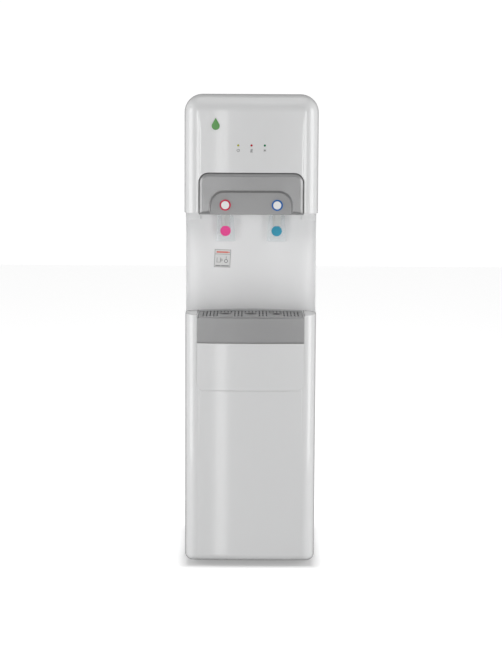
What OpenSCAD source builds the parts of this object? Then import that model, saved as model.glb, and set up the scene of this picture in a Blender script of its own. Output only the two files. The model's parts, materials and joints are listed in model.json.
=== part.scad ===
// Floor-standing water dispenser: steel cabinet, moulded front covers, hot and cold taps,
// drip tray, filters, cold and hot tanks and a small compressor circuit.
// X is to the right, Y runs from the front to the back, Z is up, and the origin is on the
// floor under the middle of the machine. Depths named *_d are counted from the tray's front.

/* [Cabinet] */
// Width of the steel cabinet
cabinet_w = 298; // [288:1:370]
// Depth from the tray's front to the back of the condenser
overall_d = 340; // [330:1:420]
// Height from the floor to the top of the head
overall_h = 1080; // [1040:1:1320]
// Gap between the floor and the lowest cover
clearance_h = 8; // [6:1:20]
// Thickness of the steel sheet
sheet_t = 1.2; // [0.8:0.1:1.6]
// Depth at which the steel sides begin behind the front covers
side_d = 85; // [80:1:95]
// Room behind the rear panel for the condenser
condenser_space = 24; // [22:1:34]

/* [Front covers] */
// Wall of the moulded covers
cover_t = 3; // [2.4:0.1:3.6]
// Overhang of the head past each steel side
head_lap = 2; // [1:0.5:4]
// Radius of the head's top corners and of its top front edge
corner_r = 41; // [34:1:48]
// Width of each rounded column beside the flat face of the head
column_w = 35.5; // [28:0.5:42]
// Depth over which a column turns back to the side
column_d = 40; // [30:1:50]
// How far the crowned face falls back from its middle to its creases
face_crown = 4; // [2:0.5:6]
// Height of the small step at each crease
crease_step = 2; // [1:0.5:3]
// How far bezel, fascia and apron stand proud of the face
trim_proud = 2; // [1:0.5:3]
// Radius under the front edge of the lower panel
toe_r = 24; // [16:1:30]
// Rise of the bottom edge below each column
toe_rise = 7; // [4:1:10]

/* [Head and bay] */
// Height of the head
head_h = 267; // [250:1:300]
// Height of the dispensing bay
bay_h = 230; // [200:1:280]
// Depth at which the bay's wall starts at the sides
scoop_d0 = 60; // [52:1:66]
// Extra depth of the bay's curved wall at its middle
scoop_depth = 59; // [50:1:60]
// Wall of the bay panel
bay_t = 2.5; // [2:0.1:3]
// Height of the cheeks under the head at both sides of the bay
cheek_h = 20; // [12:1:30]

/* [Taps] */
// Distance between the two taps
tap_spacing = 116.8; // [110:0.1:124]
// Depth of the spouts
spout_d = 55; // [52:1:58]
// Outer radius of a spout
spout_r = 9; // [8:0.5:10]
// Bore radius of a spout
spout_bore_r = 5; // [3:0.5:6]
// How far a spout reaches below the head
spout_drop = 31; // [20:1:40]
// Width of a lever's paddle
paddle_w = 31.6; // [28:0.1:34]
// How far a paddle reaches below the head
paddle_drop = 68; // [55:1:80]
// Radius of a lever's pivot
pivot_r = 2.5; // [2:0.1:3]
// Radius of a button cap
button_r = 9; // [7:0.5:10]
// Travel of a button
button_travel = 3; // [2:0.5:4]
// Height of the tap bezel
bezel_h = 91.5; // [86:0.5:98]
// Depth of the pocket round the buttons
pocket_depth = 9; // [6:0.5:10]

/* [Drip tray] */
// Height of the tray's front fascia
fascia_h = 57; // [48:1:66]
// Height of the apron below the fascia
apron_h = 108.5; // [90:0.5:130]
// How far the fascia reaches past each crease
fascia_lap = 5.7; // [4:0.1:8]
// Thickness of the grille
grille_t = 3; // [2:0.5:4]
// Gap round the tray, the fascia and other parts that slide
slide_gap = 0.8; // [0.5:0.1:1.2]

/* [Cold water] */
// Outer radius of the cold tank
cold_tank_r = 62; // [50:1:64]
// Height of the cold tank
cold_tank_h = 190; // [150:1:230]
// Wall of the foam cup round the cold tank
foam_t = 15; // [12:1:18]
// Radius of the refrigerant tube
coil_r = 3; // [2.5:0.1:3.2]
// Turns of the evaporator
coil_turns = 9; // [6:1:10]
// Radius of the compressor's shell
compressor_r = 58; // [48:1:64]
// Height of the compressor's shell
compressor_h = 150; // [120:1:170]
// Runs of the condenser
condenser_runs = 14; // [8:2:18]
// Distance between two condenser runs
condenser_pitch = 44; // [36:1:48]

/* [Hot water and filters] */
// Outer radius of the hot tank
hot_tank_r = 46; // [38:1:50]
// Height of the hot tank
hot_tank_h = 140; // [110:1:145]
// Radius of a filter cartridge
filter_r = 26; // [20:1:29]
// Length of a filter cartridge
filter_l = 240; // [180:1:260]
// Distance between two cartridges
filter_pitch = 66; // [60:1:80]
// Radius of the water tubes
tube_r = 3.175; // [3:0.005:4]

/* [Hidden] */
$fn = 48;
eps = 0.01;
run_gap = 0.06;
arc_steps = 8;
face_steps = 12;
scoop_steps = 24;

// Half widths
cab_half = cabinet_w / 2;
head_half = cab_half + head_lap;
face_half = head_half - column_w;
bezel_half = face_half + 2;
fascia_half = face_half + fascia_lap;
scoop_half = head_half - 0.5 - bay_t;

// Heights
head_z = overall_h - head_h;
lower_top_z = head_z - bay_h;
ceiling_z = head_z + 1;
steel_top_z = overall_h - corner_r - 3;
fascia_top_z = lower_top_z - 6;
fascia_z = fascia_top_z - fascia_h;
apron_top_z = fascia_z - 0.5;
apron_z = apron_top_z - apron_h;
grille_top_z = lower_top_z - 3;
steel_z = clearance_h + 2;

// Depths
back_d = overall_d - condenser_space;
steel_d = side_d + 1;
face_d = trim_proud;
column_back_d = face_d + face_crown + crease_step + column_d;

white = [0.86, 0.87, 0.87];
silver = [0.66, 0.67, 0.68];
steel_white = [0.82, 0.83, 0.84];
zinc = [0.62, 0.64, 0.66];
stainless = [0.75, 0.76, 0.77];
copper = [0.72, 0.43, 0.28];
black = [0.12, 0.12, 0.13];
clear = [0.85, 0.9, 0.93, 0.5];
natural = [0.92, 0.92, 0.88];

// A depth counted from the tray's front, as a Y value
function at_d(d) = d - overall_d / 2;
function arc(cx, cy, rx, ry, a0, a1) =
    [for (i = [0:arc_steps]) let (a = a0 + (a1 - a0) * i / arc_steps)
        [cx + rx * cos(a), cy + ry * sin(a)]];
// A rectangle whose two bottom and two top corners are rounded with their own radii
function round_rect(x0, y0, x1, y1, rb, rt) = concat(
    rb > 0 ? arc(x0 + rb, y0 + rb, rb, rb, 180, 270) : [[x0, y0]],
    rb > 0 ? arc(x1 - rb, y0 + rb, rb, rb, 270, 360) : [[x1, y0]],
    rt > 0 ? arc(x1 - rt, y1 - rt, rt, rt, 0, 90) : [[x1, y1]],
    rt > 0 ? arc(x0 + rt, y1 - rt, rt, rt, 90, 180) : [[x0, y1]]);
// Fall of the crowned face at a distance from its middle
function crown_at(x) = face_crown * pow(x / face_half, 2);
// Depth of the bay's visible wall at a distance from its middle
function scoop_at(x, grow = 0) =
    scoop_d0 + (scoop_depth + grow) * sqrt(max(0, 1 - pow(x / (scoop_half + grow), 2)));
// A front cover's outline from above, drawn inset from its outer skin
function cover_plan(half, inset) = concat(
    [[-half + inset, at_d(side_d)]],
    arc(-face_half, at_d(column_back_d), half - face_half - inset, column_d - inset, 180, 270),
    [for (i = [0:face_steps]) let (x = face_half * (2 * i / face_steps - 1))
        [x, at_d(face_d + inset + crown_at(x))]],
    arc(face_half, at_d(column_back_d), half - face_half - inset, column_d - inset, 270, 360),
    [[half - inset, at_d(side_d)]]);
// A plan that ends at the curved wall of the bay
function tray_plan(half, front_d, gap) = concat(
    [[-half, at_d(front_d)], [half, at_d(front_d)]],
    [for (i = [0:scoop_steps]) let (x = half * (1 - 2 * i / scoop_steps))
        [x, at_d(scoop_at(x) - gap)]]);
// A crowned strip, seen from above
function crown_plan(half, front_d, thick) = concat(
    [for (i = [0:face_steps]) let (x = half * (2 * i / face_steps - 1))
        [x, at_d(front_d + crown_at(x))]],
    [for (i = [0:face_steps]) let (x = half * (1 - 2 * i / face_steps))
        [x, at_d(front_d + thick + crown_at(x))]]);

// Extrusions of an outline that is drawn in the XY, XZ or YZ plane
module extrude_z(pts, z0, z1) { translate([0, 0, z0]) linear_extrude(z1 - z0) polygon(pts); }
module extrude_y(pts, d0, d1) {
    translate([0, at_d(d1), 0]) rotate([90, 0, 0]) linear_extrude(d1 - d0) polygon(pts);
}
module extrude_x(pts, x0, x1) {
    translate([x0, 0, 0]) rotate([90, 0, 90]) linear_extrude(x1 - x0) polygon(pts);
}
// A box between two corners, whose Y values are depths
module block(x0, x1, d0, d1, z0, z1) {
    translate([x0, at_d(d0), z0]) cube([x1 - x0, d1 - d0, z1 - z0]);
}
module rod_z(x, d, z0, z1, r) { translate([x, at_d(d), z0]) cylinder(h = z1 - z0, r = r); }
module rod_y(x, z, d0, d1, r) {
    translate([x, at_d(d0), z]) rotate([-90, 0, 0]) cylinder(h = d1 - d0, r = r);
}
module rod_x(x0, x1, d, z, r) {
    translate([x0, at_d(d), z]) rotate([0, 90, 0]) cylinder(h = x1 - x0, r = r);
}
module torus(ring_r, wire_r) { rotate_extrude() translate([ring_r, 0]) circle(wire_r); }
// A tube through points given as [x, depth, z], with a rounded elbow at each inner point
module tube_run(points, r) {
    p = [for (q = points) [q[0], at_d(q[1]), q[2]]];
    for (i = [1:len(p) - 1]) {
        v = p[i] - p[i - 1];
        translate(p[i - 1]) rotate([0, atan2(norm([v[0], v[1]]), v[2]), atan2(v[1], v[0])])
            cylinder(h = norm(v), r = r);
    }
    for (i = [1:len(p) - 2]) translate(p[i]) sphere(r + elbow_wall);
}
elbow_wall = 0.5;
module each_side(offset) { for (s = [-1, 1]) translate([s * offset, 0, 0]) children(); }

// ---- Cabinet ----

foot_r = 16;
foot_inset = 26;
foot_x = cab_half - foot_inset;
front_foot_d = steel_d + foot_inset;
rear_foot_d = back_d - foot_inset;
foot_stud_r = 4;
pan_t = 2;
pan_h = 24;
pan_half = cab_half - sheet_t;
pan_floor_z = clearance_h + pan_t;

module at_feet() {
    for (d = [front_foot_d, rear_foot_d]) each_side(foot_x) translate([0, at_d(d), 0]) children();
}
module base_pan() {
    color(zinc) difference() {
        block(-pan_half, pan_half, steel_d, back_d - sheet_t, clearance_h, clearance_h + pan_h);
        block(-pan_half + pan_t, pan_half - pan_t, steel_d + pan_t, back_d - sheet_t - pan_t,
            pan_floor_z, clearance_h + pan_h + 1);
        at_feet() cylinder(h = 2 * pan_h, r = foot_stud_r);
        compressor_bolts() cylinder(h = 2 * pan_h, r = bolt_r);
    }
}
module feet() {
    color(black) at_feet() {
        cylinder(h = clearance_h, r1 = foot_r, r2 = foot_r - 2);
        cylinder(h = clearance_h + 12, r = foot_stud_r);
    }
}

flange_w = 12;
// A steel side with a flange along its front and its back, as a plan outline
function side_plan(side) = [
    [side * cab_half, at_d(steel_d)], [side * (cab_half - flange_w), at_d(steel_d)],
    [side * (cab_half - flange_w), at_d(steel_d + sheet_t)],
    [side * (cab_half - sheet_t), at_d(steel_d + sheet_t)],
    [side * (cab_half - sheet_t), at_d(back_d - 2 * sheet_t)],
    [side * (cab_half - flange_w), at_d(back_d - 2 * sheet_t)],
    [side * (cab_half - flange_w), at_d(back_d - sheet_t)],
    [side * cab_half, at_d(back_d - sheet_t)]];
module side_panel(side) {
    color(steel_white) difference() {
        extrude_z(side_plan(side), steel_z, steel_top_z);
        // The pan and the shelves stand inside the front and rear flanges
        block(-pan_half, pan_half, steel_d - 1, back_d, steel_z - 1, clearance_h + pan_h);
        rear_screw_places() rod_y(0, 0, back_d - 20, back_d + 1, screw_r);
    }
}
module left_side_panel() side_panel(-1);
module right_side_panel() side_panel(1);

screw_r = 1.8;
screw_head_r = 3.8;
screw_head_h = 2.2;
screw_rows = 5;
screw_x = cab_half - flange_w / 2;
first_screw_z = clearance_h + pan_h + 16;
last_screw_z = steel_top_z - 16;
module rear_screw_places() {
    for (i = [0:screw_rows - 1])
        translate([0, 0, first_screw_z + (last_screw_z - first_screw_z) * i / (screw_rows - 1)])
            each_side(screw_x) children();
}
louvre_w = 70;
louvre_h = 4;
louvre_pitch = 12;
module louvres(x, z, rows) {
    for (i = [0:rows - 1]) extrude_y(
        round_rect(x - louvre_w / 2, z + i * louvre_pitch, x + louvre_w / 2,
            z + i * louvre_pitch + louvre_h, louvre_h / 2 - 0.2, louvre_h / 2 - 0.2),
        back_d - 10, back_d + 1);
}
module rear_panel() {
    color(zinc) difference() {
        block(-cab_half, cab_half, back_d - sheet_t, back_d, steel_z, steel_top_z);
        rear_screw_places() rod_y(0, 0, back_d - 20, back_d + 1, screw_r);
        each_side(louvre_x) louvres(0, clearance_h + 150, 5);
        each_side(louvre_x) louvres(0, lower_top_z + 40, 6);
        for (z = [inlet_z, drain_z]) rod_y(fitting_x, z, back_d - 10, back_d + 1, fitting_r);
        block(plate_x - plate_w / 2, plate_x + plate_w / 2, back_d - 10, back_d + 1,
            plate_z, plate_z + plate_h);
        rod_y(discharge_x, compressor_line_z, back_d - 10, back_d + 1, coil_r + 2);
        rod_y(return_x, dryer_line_z, back_d - 10, back_d + 1, coil_r + 2);
    }
}
louvre_x = 70;
module rear_screws() {
    color(stainless) rear_screw_places() {
        rod_y(0, 0, back_d - 9, back_d, screw_r);
        rod_y(0, 0, back_d, back_d + screw_head_h, screw_head_r);
    }
}

// ---- Moulded covers ----

// The head's outline from the front, and its profile from the side
function head_front(inset) =
    round_rect(-head_half + inset, inset > 0 ? head_z - 1 : head_z, head_half - inset,
        overall_h - inset, 0, corner_r - inset);
function head_profile(inset) = concat(
    [[at_d(side_d) + 1, overall_h - inset]],
    arc(at_d(face_d + corner_r), overall_h - corner_r, corner_r - inset, corner_r - inset, 90, 180),
    [[at_d(face_d + inset), head_z - 1], [at_d(side_d) + 1, head_z - 1]]);
module head_solid(inset) {
    intersection() {
        extrude_z(cover_plan(head_half, inset), head_z - 1, overall_h + 1);
        extrude_y(head_front(inset), -1, side_d + 1);
        extrude_x(head_profile(inset), -head_half, head_half);
    }
}
lamp_r = 2.5;
lamp_pitch = 29.6;
lamp_z = head_z + 153;
module head_cover() {
    color(white) difference() {
        head_solid(0);
        head_solid(cover_t);
        bezel_cut(slide_gap / 2);
        for (i = [-1:1]) rod_y(i * lamp_pitch, lamp_z, -5, 30, lamp_r);
    }
}
module top_cover() {
    lip = 8;
    back_wall = cover_t;
    color(white) difference() {
        union() {
            extrude_y(round_rect(-head_half, steel_top_z, head_half, overall_h, 0, corner_r),
                side_d + 0.6, back_d);
            block(-cab_half + sheet_t + 0.5, cab_half - sheet_t - 0.5, steel_d + sheet_t + 0.5,
                back_d - sheet_t - sheet_t - 0.5, steel_top_z - lip, steel_top_z + 1);
        }
        extrude_y(round_rect(-head_half + cover_t, steel_top_z - lip - 1, head_half - cover_t,
            overall_h - cover_t, 0, corner_r - cover_t), side_d, back_d - back_wall);
        // The lip keeps a wall of its own below the cover
        block(-cab_half + sheet_t + 0.5 + cover_t, cab_half - sheet_t - 0.5 - cover_t,
            side_d, back_d - sheet_t - sheet_t - 0.5 - cover_t, steel_top_z - lip - 1, steel_top_z);
    }
}

// The lower panel's outline from the front, and its profile from the side
function lower_front(inset) = [
    [-cab_half + inset, clearance_h + toe_rise + inset], [-face_half, clearance_h + inset],
    [face_half, clearance_h + inset], [cab_half - inset, clearance_h + toe_rise + inset],
    [cab_half - inset, lower_top_z - inset], [-cab_half + inset, lower_top_z - inset]];
function lower_profile(inset) = concat(
    [[at_d(side_d) + 1, lower_top_z + 1], [at_d(face_d + inset), lower_top_z + 1]],
    arc(at_d(face_d + toe_r), clearance_h + toe_r, toe_r - inset, toe_r - inset, 180, 270),
    [[at_d(side_d) + 1, clearance_h + inset]]);
module lower_solid(inset) {
    intersection() {
        extrude_z(cover_plan(cab_half, inset), clearance_h, lower_top_z);
        extrude_y(lower_front(inset), -1, side_d + 1);
        extrude_x(lower_profile(inset), -cab_half, cab_half);
    }
}
apron_corner_r = 16;
// The whole moulding round the tray: a service panel that carries two columns
module lower_moulding() {
    hole = fascia_half + slide_gap;
    hole_r = apron_corner_r + slide_gap;
    difference() {
        union() {
            difference() {
                lower_solid(0);
                lower_solid(cover_t);
            }
            // The ledges run back to the curved wall of the bay
            extrude_z(tray_plan(cab_half - sheet_t - 1, column_back_d, slide_gap),
                lower_top_z - cover_t, lower_top_z);
        }
        extrude_y(round_rect(-hole, apron_z - slide_gap, hole, lower_top_z + 1, hole_r, 0),
            -1, scoop_d0 + scoop_depth + 10);
    }
}
column_z = apron_z + apron_corner_r;
module lower_front_panel() {
    color(white) intersection() {
        lower_moulding();
        block(-cab_half - 1, cab_half + 1, -1, side_d + 1, clearance_h - 1, column_z);
    }
}
module column(side) {
    color(white) intersection() {
        lower_moulding();
        block(side > 0 ? 0 : -cab_half - 1, side > 0 ? cab_half + 1 : 0, -1,
            scoop_d0 + scoop_depth, column_z, lower_top_z + 1);
    }
}
module left_column() column(-1);
module right_column() column(1);

// ---- Bay ----

function scoop_wall(half, d_grow) =
    [for (i = [0:scoop_steps]) let (a = 180 * i / scoop_steps)
        [half * cos(a), at_d(scoop_d0 + (scoop_depth + d_grow) * sin(a))]];
slot_w = 4.8;
slot_x = spout_r + 5.4;
module bay_panel() {
    top_z = ceiling_z + cover_t;
    color(white) {
        difference() {
            union() {
                extrude_z(scoop_wall(scoop_half + bay_t, bay_t), lower_top_z, top_z);
                for (s = [0, 1]) mirror([s, 0, 0])
                    block(scoop_half, scoop_half + bay_t, scoop_d0, side_d, lower_top_z, head_z);
            }
            extrude_z(scoop_wall(scoop_half, 0), lower_top_z - 1, ceiling_z);
            // Above the head's lower edge the panel passes inside the head
            difference() {
                block(-head_half - 1, head_half + 1, 0, side_d + 10, head_z, top_z + 1);
                extrude_z(cover_plan(head_half, cover_t + 0.4), head_z - 1, top_z + 2);
            }
            tap_openings(top_z);
        }
        difference() {
            intersection() {
                extrude_z(cover_plan(head_half, cover_t + 0.4), ceiling_z, top_z);
                block(-head_half, head_half, bezel_back_d + 0.2, scoop_d0 + eps, ceiling_z, top_z);
            }
            tap_openings(top_z);
        }
        cheeks();
    }
}
module tap_openings(top_z) {
    each_side(tap_spacing / 2) {
        rod_z(0, spout_d, head_z - 1, top_z + 1, spout_r + 0.3);
        each_side(slot_x) block(-slot_w / 2, slot_w / 2, spout_d - 14, spout_d + 26,
            head_z - 1, top_z + 1);
    }
}
module cheeks() {
    // Thickened shoulders under the head, outside the creases
    reach = 5;
    for (s = [0, 1]) mirror([s, 0, 0]) intersection() {
        difference() {
            extrude_z(scoop_wall(scoop_half + eps, eps), head_z - cheek_h, ceiling_z + eps);
            extrude_z(scoop_wall(scoop_half - reach, -reach), head_z - cheek_h - 1, ceiling_z + 1);
        }
        block(face_half, scoop_half + 1, scoop_d0, side_d + 40, head_z - cheek_h - 1, ceiling_z + 1);
    }
}

label_w = 40;
label_h = 44;
label_x = -66;
label_t = 0.4;
label_z = lower_top_z + 96;
module info_label() {
    color("white") intersection() {
        difference() {
            extrude_z(scoop_wall(scoop_half, 0), label_z, label_z + label_h);
            extrude_z(scoop_wall(scoop_half - label_t, -label_t), label_z - 1, label_z + label_h + 1);
        }
        block(label_x - label_w / 2, label_x + label_w / 2, scoop_d0, side_d + 40,
            label_z - 1, label_z + label_h + 1);
    }
}

// ---- Tap bezel, buttons and lamps ----

bezel_top_z = head_z + bezel_h;
bezel_z = head_z - 3;
bezel_corner_r = 21.5;
bezel_back_d = 28;
bezel_bevel_h = 8.4;
bezel_bevel_d = 5;
bezel_roll_h = 17;
bezel_roll_d = 20;
bezel_t = 2.5;
pocket_half = bezel_half - 26.5;
pocket_top_z = bezel_top_z - 42;
pocket_r = 30;
function bezel_front(inset) =
    round_rect(-bezel_half + inset, bezel_z - (inset > 0 ? 1 : 0), bezel_half - inset,
        bezel_top_z - inset, 0, bezel_corner_r - inset);
function bezel_profile(inset) = concat(
    [[at_d(bezel_back_d + inset), bezel_top_z - inset],
     [at_d(bezel_bevel_d + inset), bezel_top_z - inset],
     [at_d(inset), bezel_top_z - bezel_bevel_h]],
    arc(at_d(bezel_roll_d), bezel_z + bezel_roll_h, bezel_roll_d - inset, bezel_roll_h - inset,
        180, 270),
    [[at_d(bezel_back_d + inset), bezel_z + inset]]);
module bezel_solid(inset) {
    intersection() {
        extrude_y(bezel_front(inset), -1, bezel_back_d + 2 * inset);
        extrude_x(bezel_profile(inset), -bezel_half, bezel_half);
        extrude_z(concat(
            [for (i = [0:face_steps]) let (x = bezel_half * (2 * i / face_steps - 1))
                [x, at_d(inset + crown_at(x))]],
            [[bezel_half, at_d(bezel_back_d + 3 * bezel_t)],
                [-bezel_half, at_d(bezel_back_d + 3 * bezel_t)]]),
            bezel_z - 2, bezel_top_z + 1);
    }
}
module bezel_cut(gap) {
    extrude_y(round_rect(-bezel_half - gap, head_z - 1, bezel_half + gap, bezel_top_z + gap,
        0, bezel_corner_r + gap), -1, side_d - 10);
}
pocket_floor_d = face_crown / 2 + pocket_depth;
module pocket_solid(grow, d0, d1) {
    extrude_y(round_rect(-pocket_half - grow, bezel_z - 1, pocket_half + grow,
        pocket_top_z + grow, 0, pocket_r + grow), d0, d1);
}
module tap_bezel() {
    color(silver) difference() {
        union() {
            difference() {
                bezel_solid(0);
                bezel_solid(bezel_t);
            }
            intersection() {
                bezel_solid(0);
                pocket_solid(bezel_t, -1, pocket_floor_d + bezel_t);
            }
        }
        pocket_solid(0, -1, pocket_floor_d);
        each_side(tap_spacing / 2) rod_y(0, button_z, -1, bezel_back_d, ring_body_r);
    }
}

button_z = head_z + 19;
ring_flange_r = button_r + 3.5;
ring_body_r = button_r + 3;
ring_back_d = pocket_floor_d + 6;
stem_r = 3.5;
collar_r = 6.5;
cap_front_d = pocket_floor_d - 2.5;
collar_d = ring_back_d + 2.5;
switch_d = collar_d + 11;
module button_ring(tint) {
    color(tint) difference() {
        union() {
            rod_y(0, button_z, pocket_floor_d - 1.5, pocket_floor_d, ring_flange_r);
            rod_y(0, button_z, pocket_floor_d, ring_back_d, ring_body_r);
        }
        rod_y(0, button_z, pocket_floor_d - 2, ring_back_d - 1, button_r + run_gap);
        rod_y(0, button_z, ring_back_d - 2, ring_back_d + 1, stem_r + run_gap);
    }
}
module button_cap() {
    color("white") {
        rod_y(0, button_z, cap_front_d, ring_back_d - 1 - button_travel - 0.3, button_r);
        rod_y(0, button_z, cap_front_d, switch_d - button_travel - 0.4, stem_r);
        rod_y(0, button_z, collar_d, collar_d + 1.5, collar_r);
    }
}
module button_spring() {
    wire_r = 0.5;
    coil_mid_r = stem_r + 1.5;
    d0 = collar_d + 2.1;
    turns = 5;
    pitch = (switch_d - d0 - 2 * wire_r) / (turns - 1);
    color(zinc) {
        for (i = [0:turns - 1]) translate([0, at_d(d0 + wire_r - 0.1 + i * pitch), button_z])
            rotate([90, 0, 0]) torus(coil_mid_r, wire_r);
        rod_y(0, button_z + coil_mid_r, d0 + wire_r, switch_d - wire_r - 0.2, wire_r * 0.9);
    }
}
hot_x = -tap_spacing / 2;
cold_x = tap_spacing / 2;
module hot_button_ring() translate([hot_x, 0, 0]) button_ring("crimson");
module cold_button_ring() translate([cold_x, 0, 0]) button_ring("royalblue");
module hot_button_cap() translate([hot_x, 0, 0]) button_cap();
module cold_button_cap() translate([cold_x, 0, 0]) button_cap();
module hot_button_spring() translate([hot_x, 0, 0]) button_spring();
module cold_button_spring() translate([cold_x, 0, 0]) button_spring();

module lamp(i, tint) {
    front = face_d + crown_at(i * lamp_pitch);
    color(tint) {
        rod_y(i * lamp_pitch, lamp_z, front - 0.4, front + 8, lamp_r);
        rod_y(i * lamp_pitch, lamp_z, front + cover_t + 0.1, front + 6, lamp_r + 1.5);
    }
}
module power_lamp() lamp(-1, "olive");
module hot_lamp() lamp(0, "darkred");
module cold_lamp() lamp(1, "darkgreen");

// A plain water drop, raised on the head
module emblem_badge() {
    x = -80;
    z = head_z + 196;
    drop_r = 9;
    color([0.35, 0.62, 0.3]) difference() {
        translate([x, at_d(face_d + crown_at(x) + 3), z]) rotate([90, 0, 0]) linear_extrude(4.2)
            polygon(concat(arc(0, 0, drop_r, drop_r, 150, 270), arc(0, 0, drop_r, drop_r, 285, 390),
                [[0, drop_r * 2]]));
        extrude_z(cover_plan(head_half, 0), head_z - 1, overall_h + 1);
    }
}

// ---- Faucets ----

faucet_r = 11;
pivot_z = head_z + 13;
plunger_rise = 14;
plunger_z = pivot_z + plunger_rise;
plunger_r = 3;
arm_t = 3;
arm_x = faucet_r + 1.9;
paddle_d = spout_d + 13;
paddle_t = 3;
paddle_z = head_z - paddle_drop;
ceiling_top_z = ceiling_z + cover_t;
module faucet_body() {
    barb_z = plunger_z + 15;
    color(natural) difference() {
        union() {
            rod_z(0, spout_d, head_z - spout_drop, ceiling_top_z, spout_r);
            rod_z(0, spout_d, ceiling_top_z, plunger_z + 22, faucet_r);
            block(-faucet_r, faucet_r, spout_d - 14, spout_d + 14, ceiling_top_z, ceiling_top_z + 2.5);
            rod_x(-arm_x - arm_t - 2, arm_x + arm_t + 2, spout_d, pivot_z, pivot_r);
            rod_y(0, barb_z, spout_d, spout_d + 26, 4.5);
        }
        rod_z(0, spout_d, head_z - spout_drop - 1, plunger_z + 14, spout_bore_r);
        rod_y(0, plunger_z, spout_d, spout_d + 20, plunger_r + run_gap);
        rod_y(0, barb_z, spout_d - 2, spout_d + 27, 3);
    }
    // Stop that closes the spout's bore above the pivot
    color(natural) rod_z(0, spout_d, pivot_z - 3.5, pivot_z + 3.5, spout_bore_r);
}
module lever() {
    bar_d = spout_d + 15;
    wing_reach = 10;
    wing_top_z = head_z - 8;
    arm = concat(
        arc(at_d(spout_d), pivot_z, 6, 6, 180, 250),
        [[at_d(paddle_d), wing_top_z - 8], [at_d(paddle_d + paddle_t), wing_top_z - 8],
         [at_d(paddle_d + paddle_t), wing_top_z + 2]],
        arc(at_d(spout_d), pivot_z, 6, 6, -20, 30),
        [[at_d(bar_d), plunger_z - 4], [at_d(bar_d + 3), plunger_z - 4],
         [at_d(bar_d + 3), plunger_z + 4], [at_d(bar_d - 3), plunger_z + 4]],
        arc(at_d(spout_d), pivot_z, 6, 6, 110, 150));
    color(clear) difference() {
        union() {
            each_side(arm_x + arm_t / 2) extrude_x(arm, -arm_t / 2, arm_t / 2);
            block(-arm_x - arm_t, arm_x + arm_t, bar_d, bar_d + 3, plunger_z - 4, plunger_z + 4);
            block(-paddle_w / 2, paddle_w / 2, paddle_d, paddle_d + paddle_t, paddle_z, wing_top_z - 1);
            intersection() {
                for (s = [0, 1]) mirror([s, 0, 0]) extrude_z([
                    [paddle_w / 2 - 2, at_d(paddle_d)], [paddle_w / 2, at_d(paddle_d)],
                    [paddle_w / 2 + 7, at_d(paddle_d + wing_reach)],
                    [paddle_w / 2 + 5, at_d(paddle_d + wing_reach)]], paddle_z, wing_top_z - 1);
                extrude_y([[-paddle_w / 2 - 7, paddle_z], [paddle_w / 2 + 7, paddle_z],
                    [paddle_w / 2 + 2, wing_top_z], [-paddle_w / 2 - 2, wing_top_z]], 0, side_d + 20);
            }
        }
        rod_x(-arm_x - arm_t - 1, arm_x + arm_t + 1, spout_d, pivot_z, pivot_r + run_gap);
    }
}
dot_r = 11.9;
dot_t = 1;
dot_z = paddle_z + 24;
module lever_dot(tint) { color(tint) rod_y(0, dot_z, paddle_d - dot_t, paddle_d, dot_r); }
module valve_plunger() {
    tip_d = spout_d + 14.6;
    color(zinc) {
        rod_y(0, plunger_z, spout_d + 6, tip_d - plunger_r, plunger_r);
        translate([0, at_d(tip_d - plunger_r), plunger_z]) sphere(plunger_r);
    }
}
module hot_faucet_body() translate([hot_x, 0, 0]) faucet_body();
module cold_faucet_body() translate([cold_x, 0, 0]) faucet_body();
module hot_lever() translate([hot_x, 0, 0]) lever();
module cold_lever() translate([cold_x, 0, 0]) lever();
module hot_lever_dot() translate([hot_x, 0, 0]) lever_dot("hotpink");
module cold_lever_dot() translate([cold_x, 0, 0]) lever_dot("lightseagreen");
module hot_valve_plunger() translate([hot_x, 0, 0]) valve_plunger();
module cold_valve_plunger() translate([cold_x, 0, 0]) valve_plunger();

// Bracket behind the bezel that holds the faucets and the button switches
module tap_carrier() {
    plate_d = switch_d + 4;
    half = face_half - 8;
    top_z = plunger_z + 20;
    color(natural) difference() {
        union() {
            block(-half, half, plate_d, plate_d + 2, ceiling_top_z, top_z);
            each_side(tap_spacing / 2) {
                block(-6, 6, switch_d, plate_d, button_z - 7, button_z + 7);
                block(-faucet_r, faucet_r, plate_d + 2, spout_d, plunger_z + 8, top_z);
            }
        }
        each_side(tap_spacing / 2) rod_z(0, spout_d, ceiling_top_z, top_z + 1, faucet_r);
    }
}

// ---- Drip tray ----

module tray_housing() {
    floor_t = 2.5;
    half = fascia_half - 0.2;
    front = 10;
    color(white) difference() {
        extrude_z(tray_plan(half, front, -bay_t), apron_top_z, lower_top_z);
        extrude_z(tray_plan(half - floor_t, front - 1, 1), apron_top_z + floor_t, lower_top_z + 1);
    }
}
tray_half = fascia_half - 4.5;
tray_front_d = 12;
tray_gap = 3;
tray_t = 2;
tray_floor_z = apron_top_z + 4;
grille_z = grille_top_z - grille_t;
module drip_tray() {
    color([0.55, 0.56, 0.58]) difference() {
        extrude_z(tray_plan(tray_half, tray_front_d, tray_gap), tray_floor_z, grille_z - 0.2);
        extrude_z(tray_plan(tray_half - tray_t, tray_front_d + tray_t, tray_gap + tray_t),
            tray_floor_z + tray_t, grille_z + 1);
    }
}
module tray_fascia() {
    color(silver) {
        extrude_z(crown_plan(fascia_half, 0, cover_t), fascia_z, fascia_top_z);
        // A rib along the top and two bosses join the fascia to the tray
        intersection() {
            block(-tray_half, tray_half, cover_t, tray_front_d, fascia_top_z - 4, fascia_top_z - 1);
            extrude_z(crown_plan(tray_half, cover_t, tray_front_d), fascia_z, fascia_top_z);
        }
        each_side(fascia_half / 2) block(-8, 8, cover_t, tray_front_d, fascia_z + 12, fascia_z + 28);
    }
}
cup_hole_r = 14;
cup_hole_pitch = 58.5;
slit_w = 3;
slit_pitch = 8;
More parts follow.
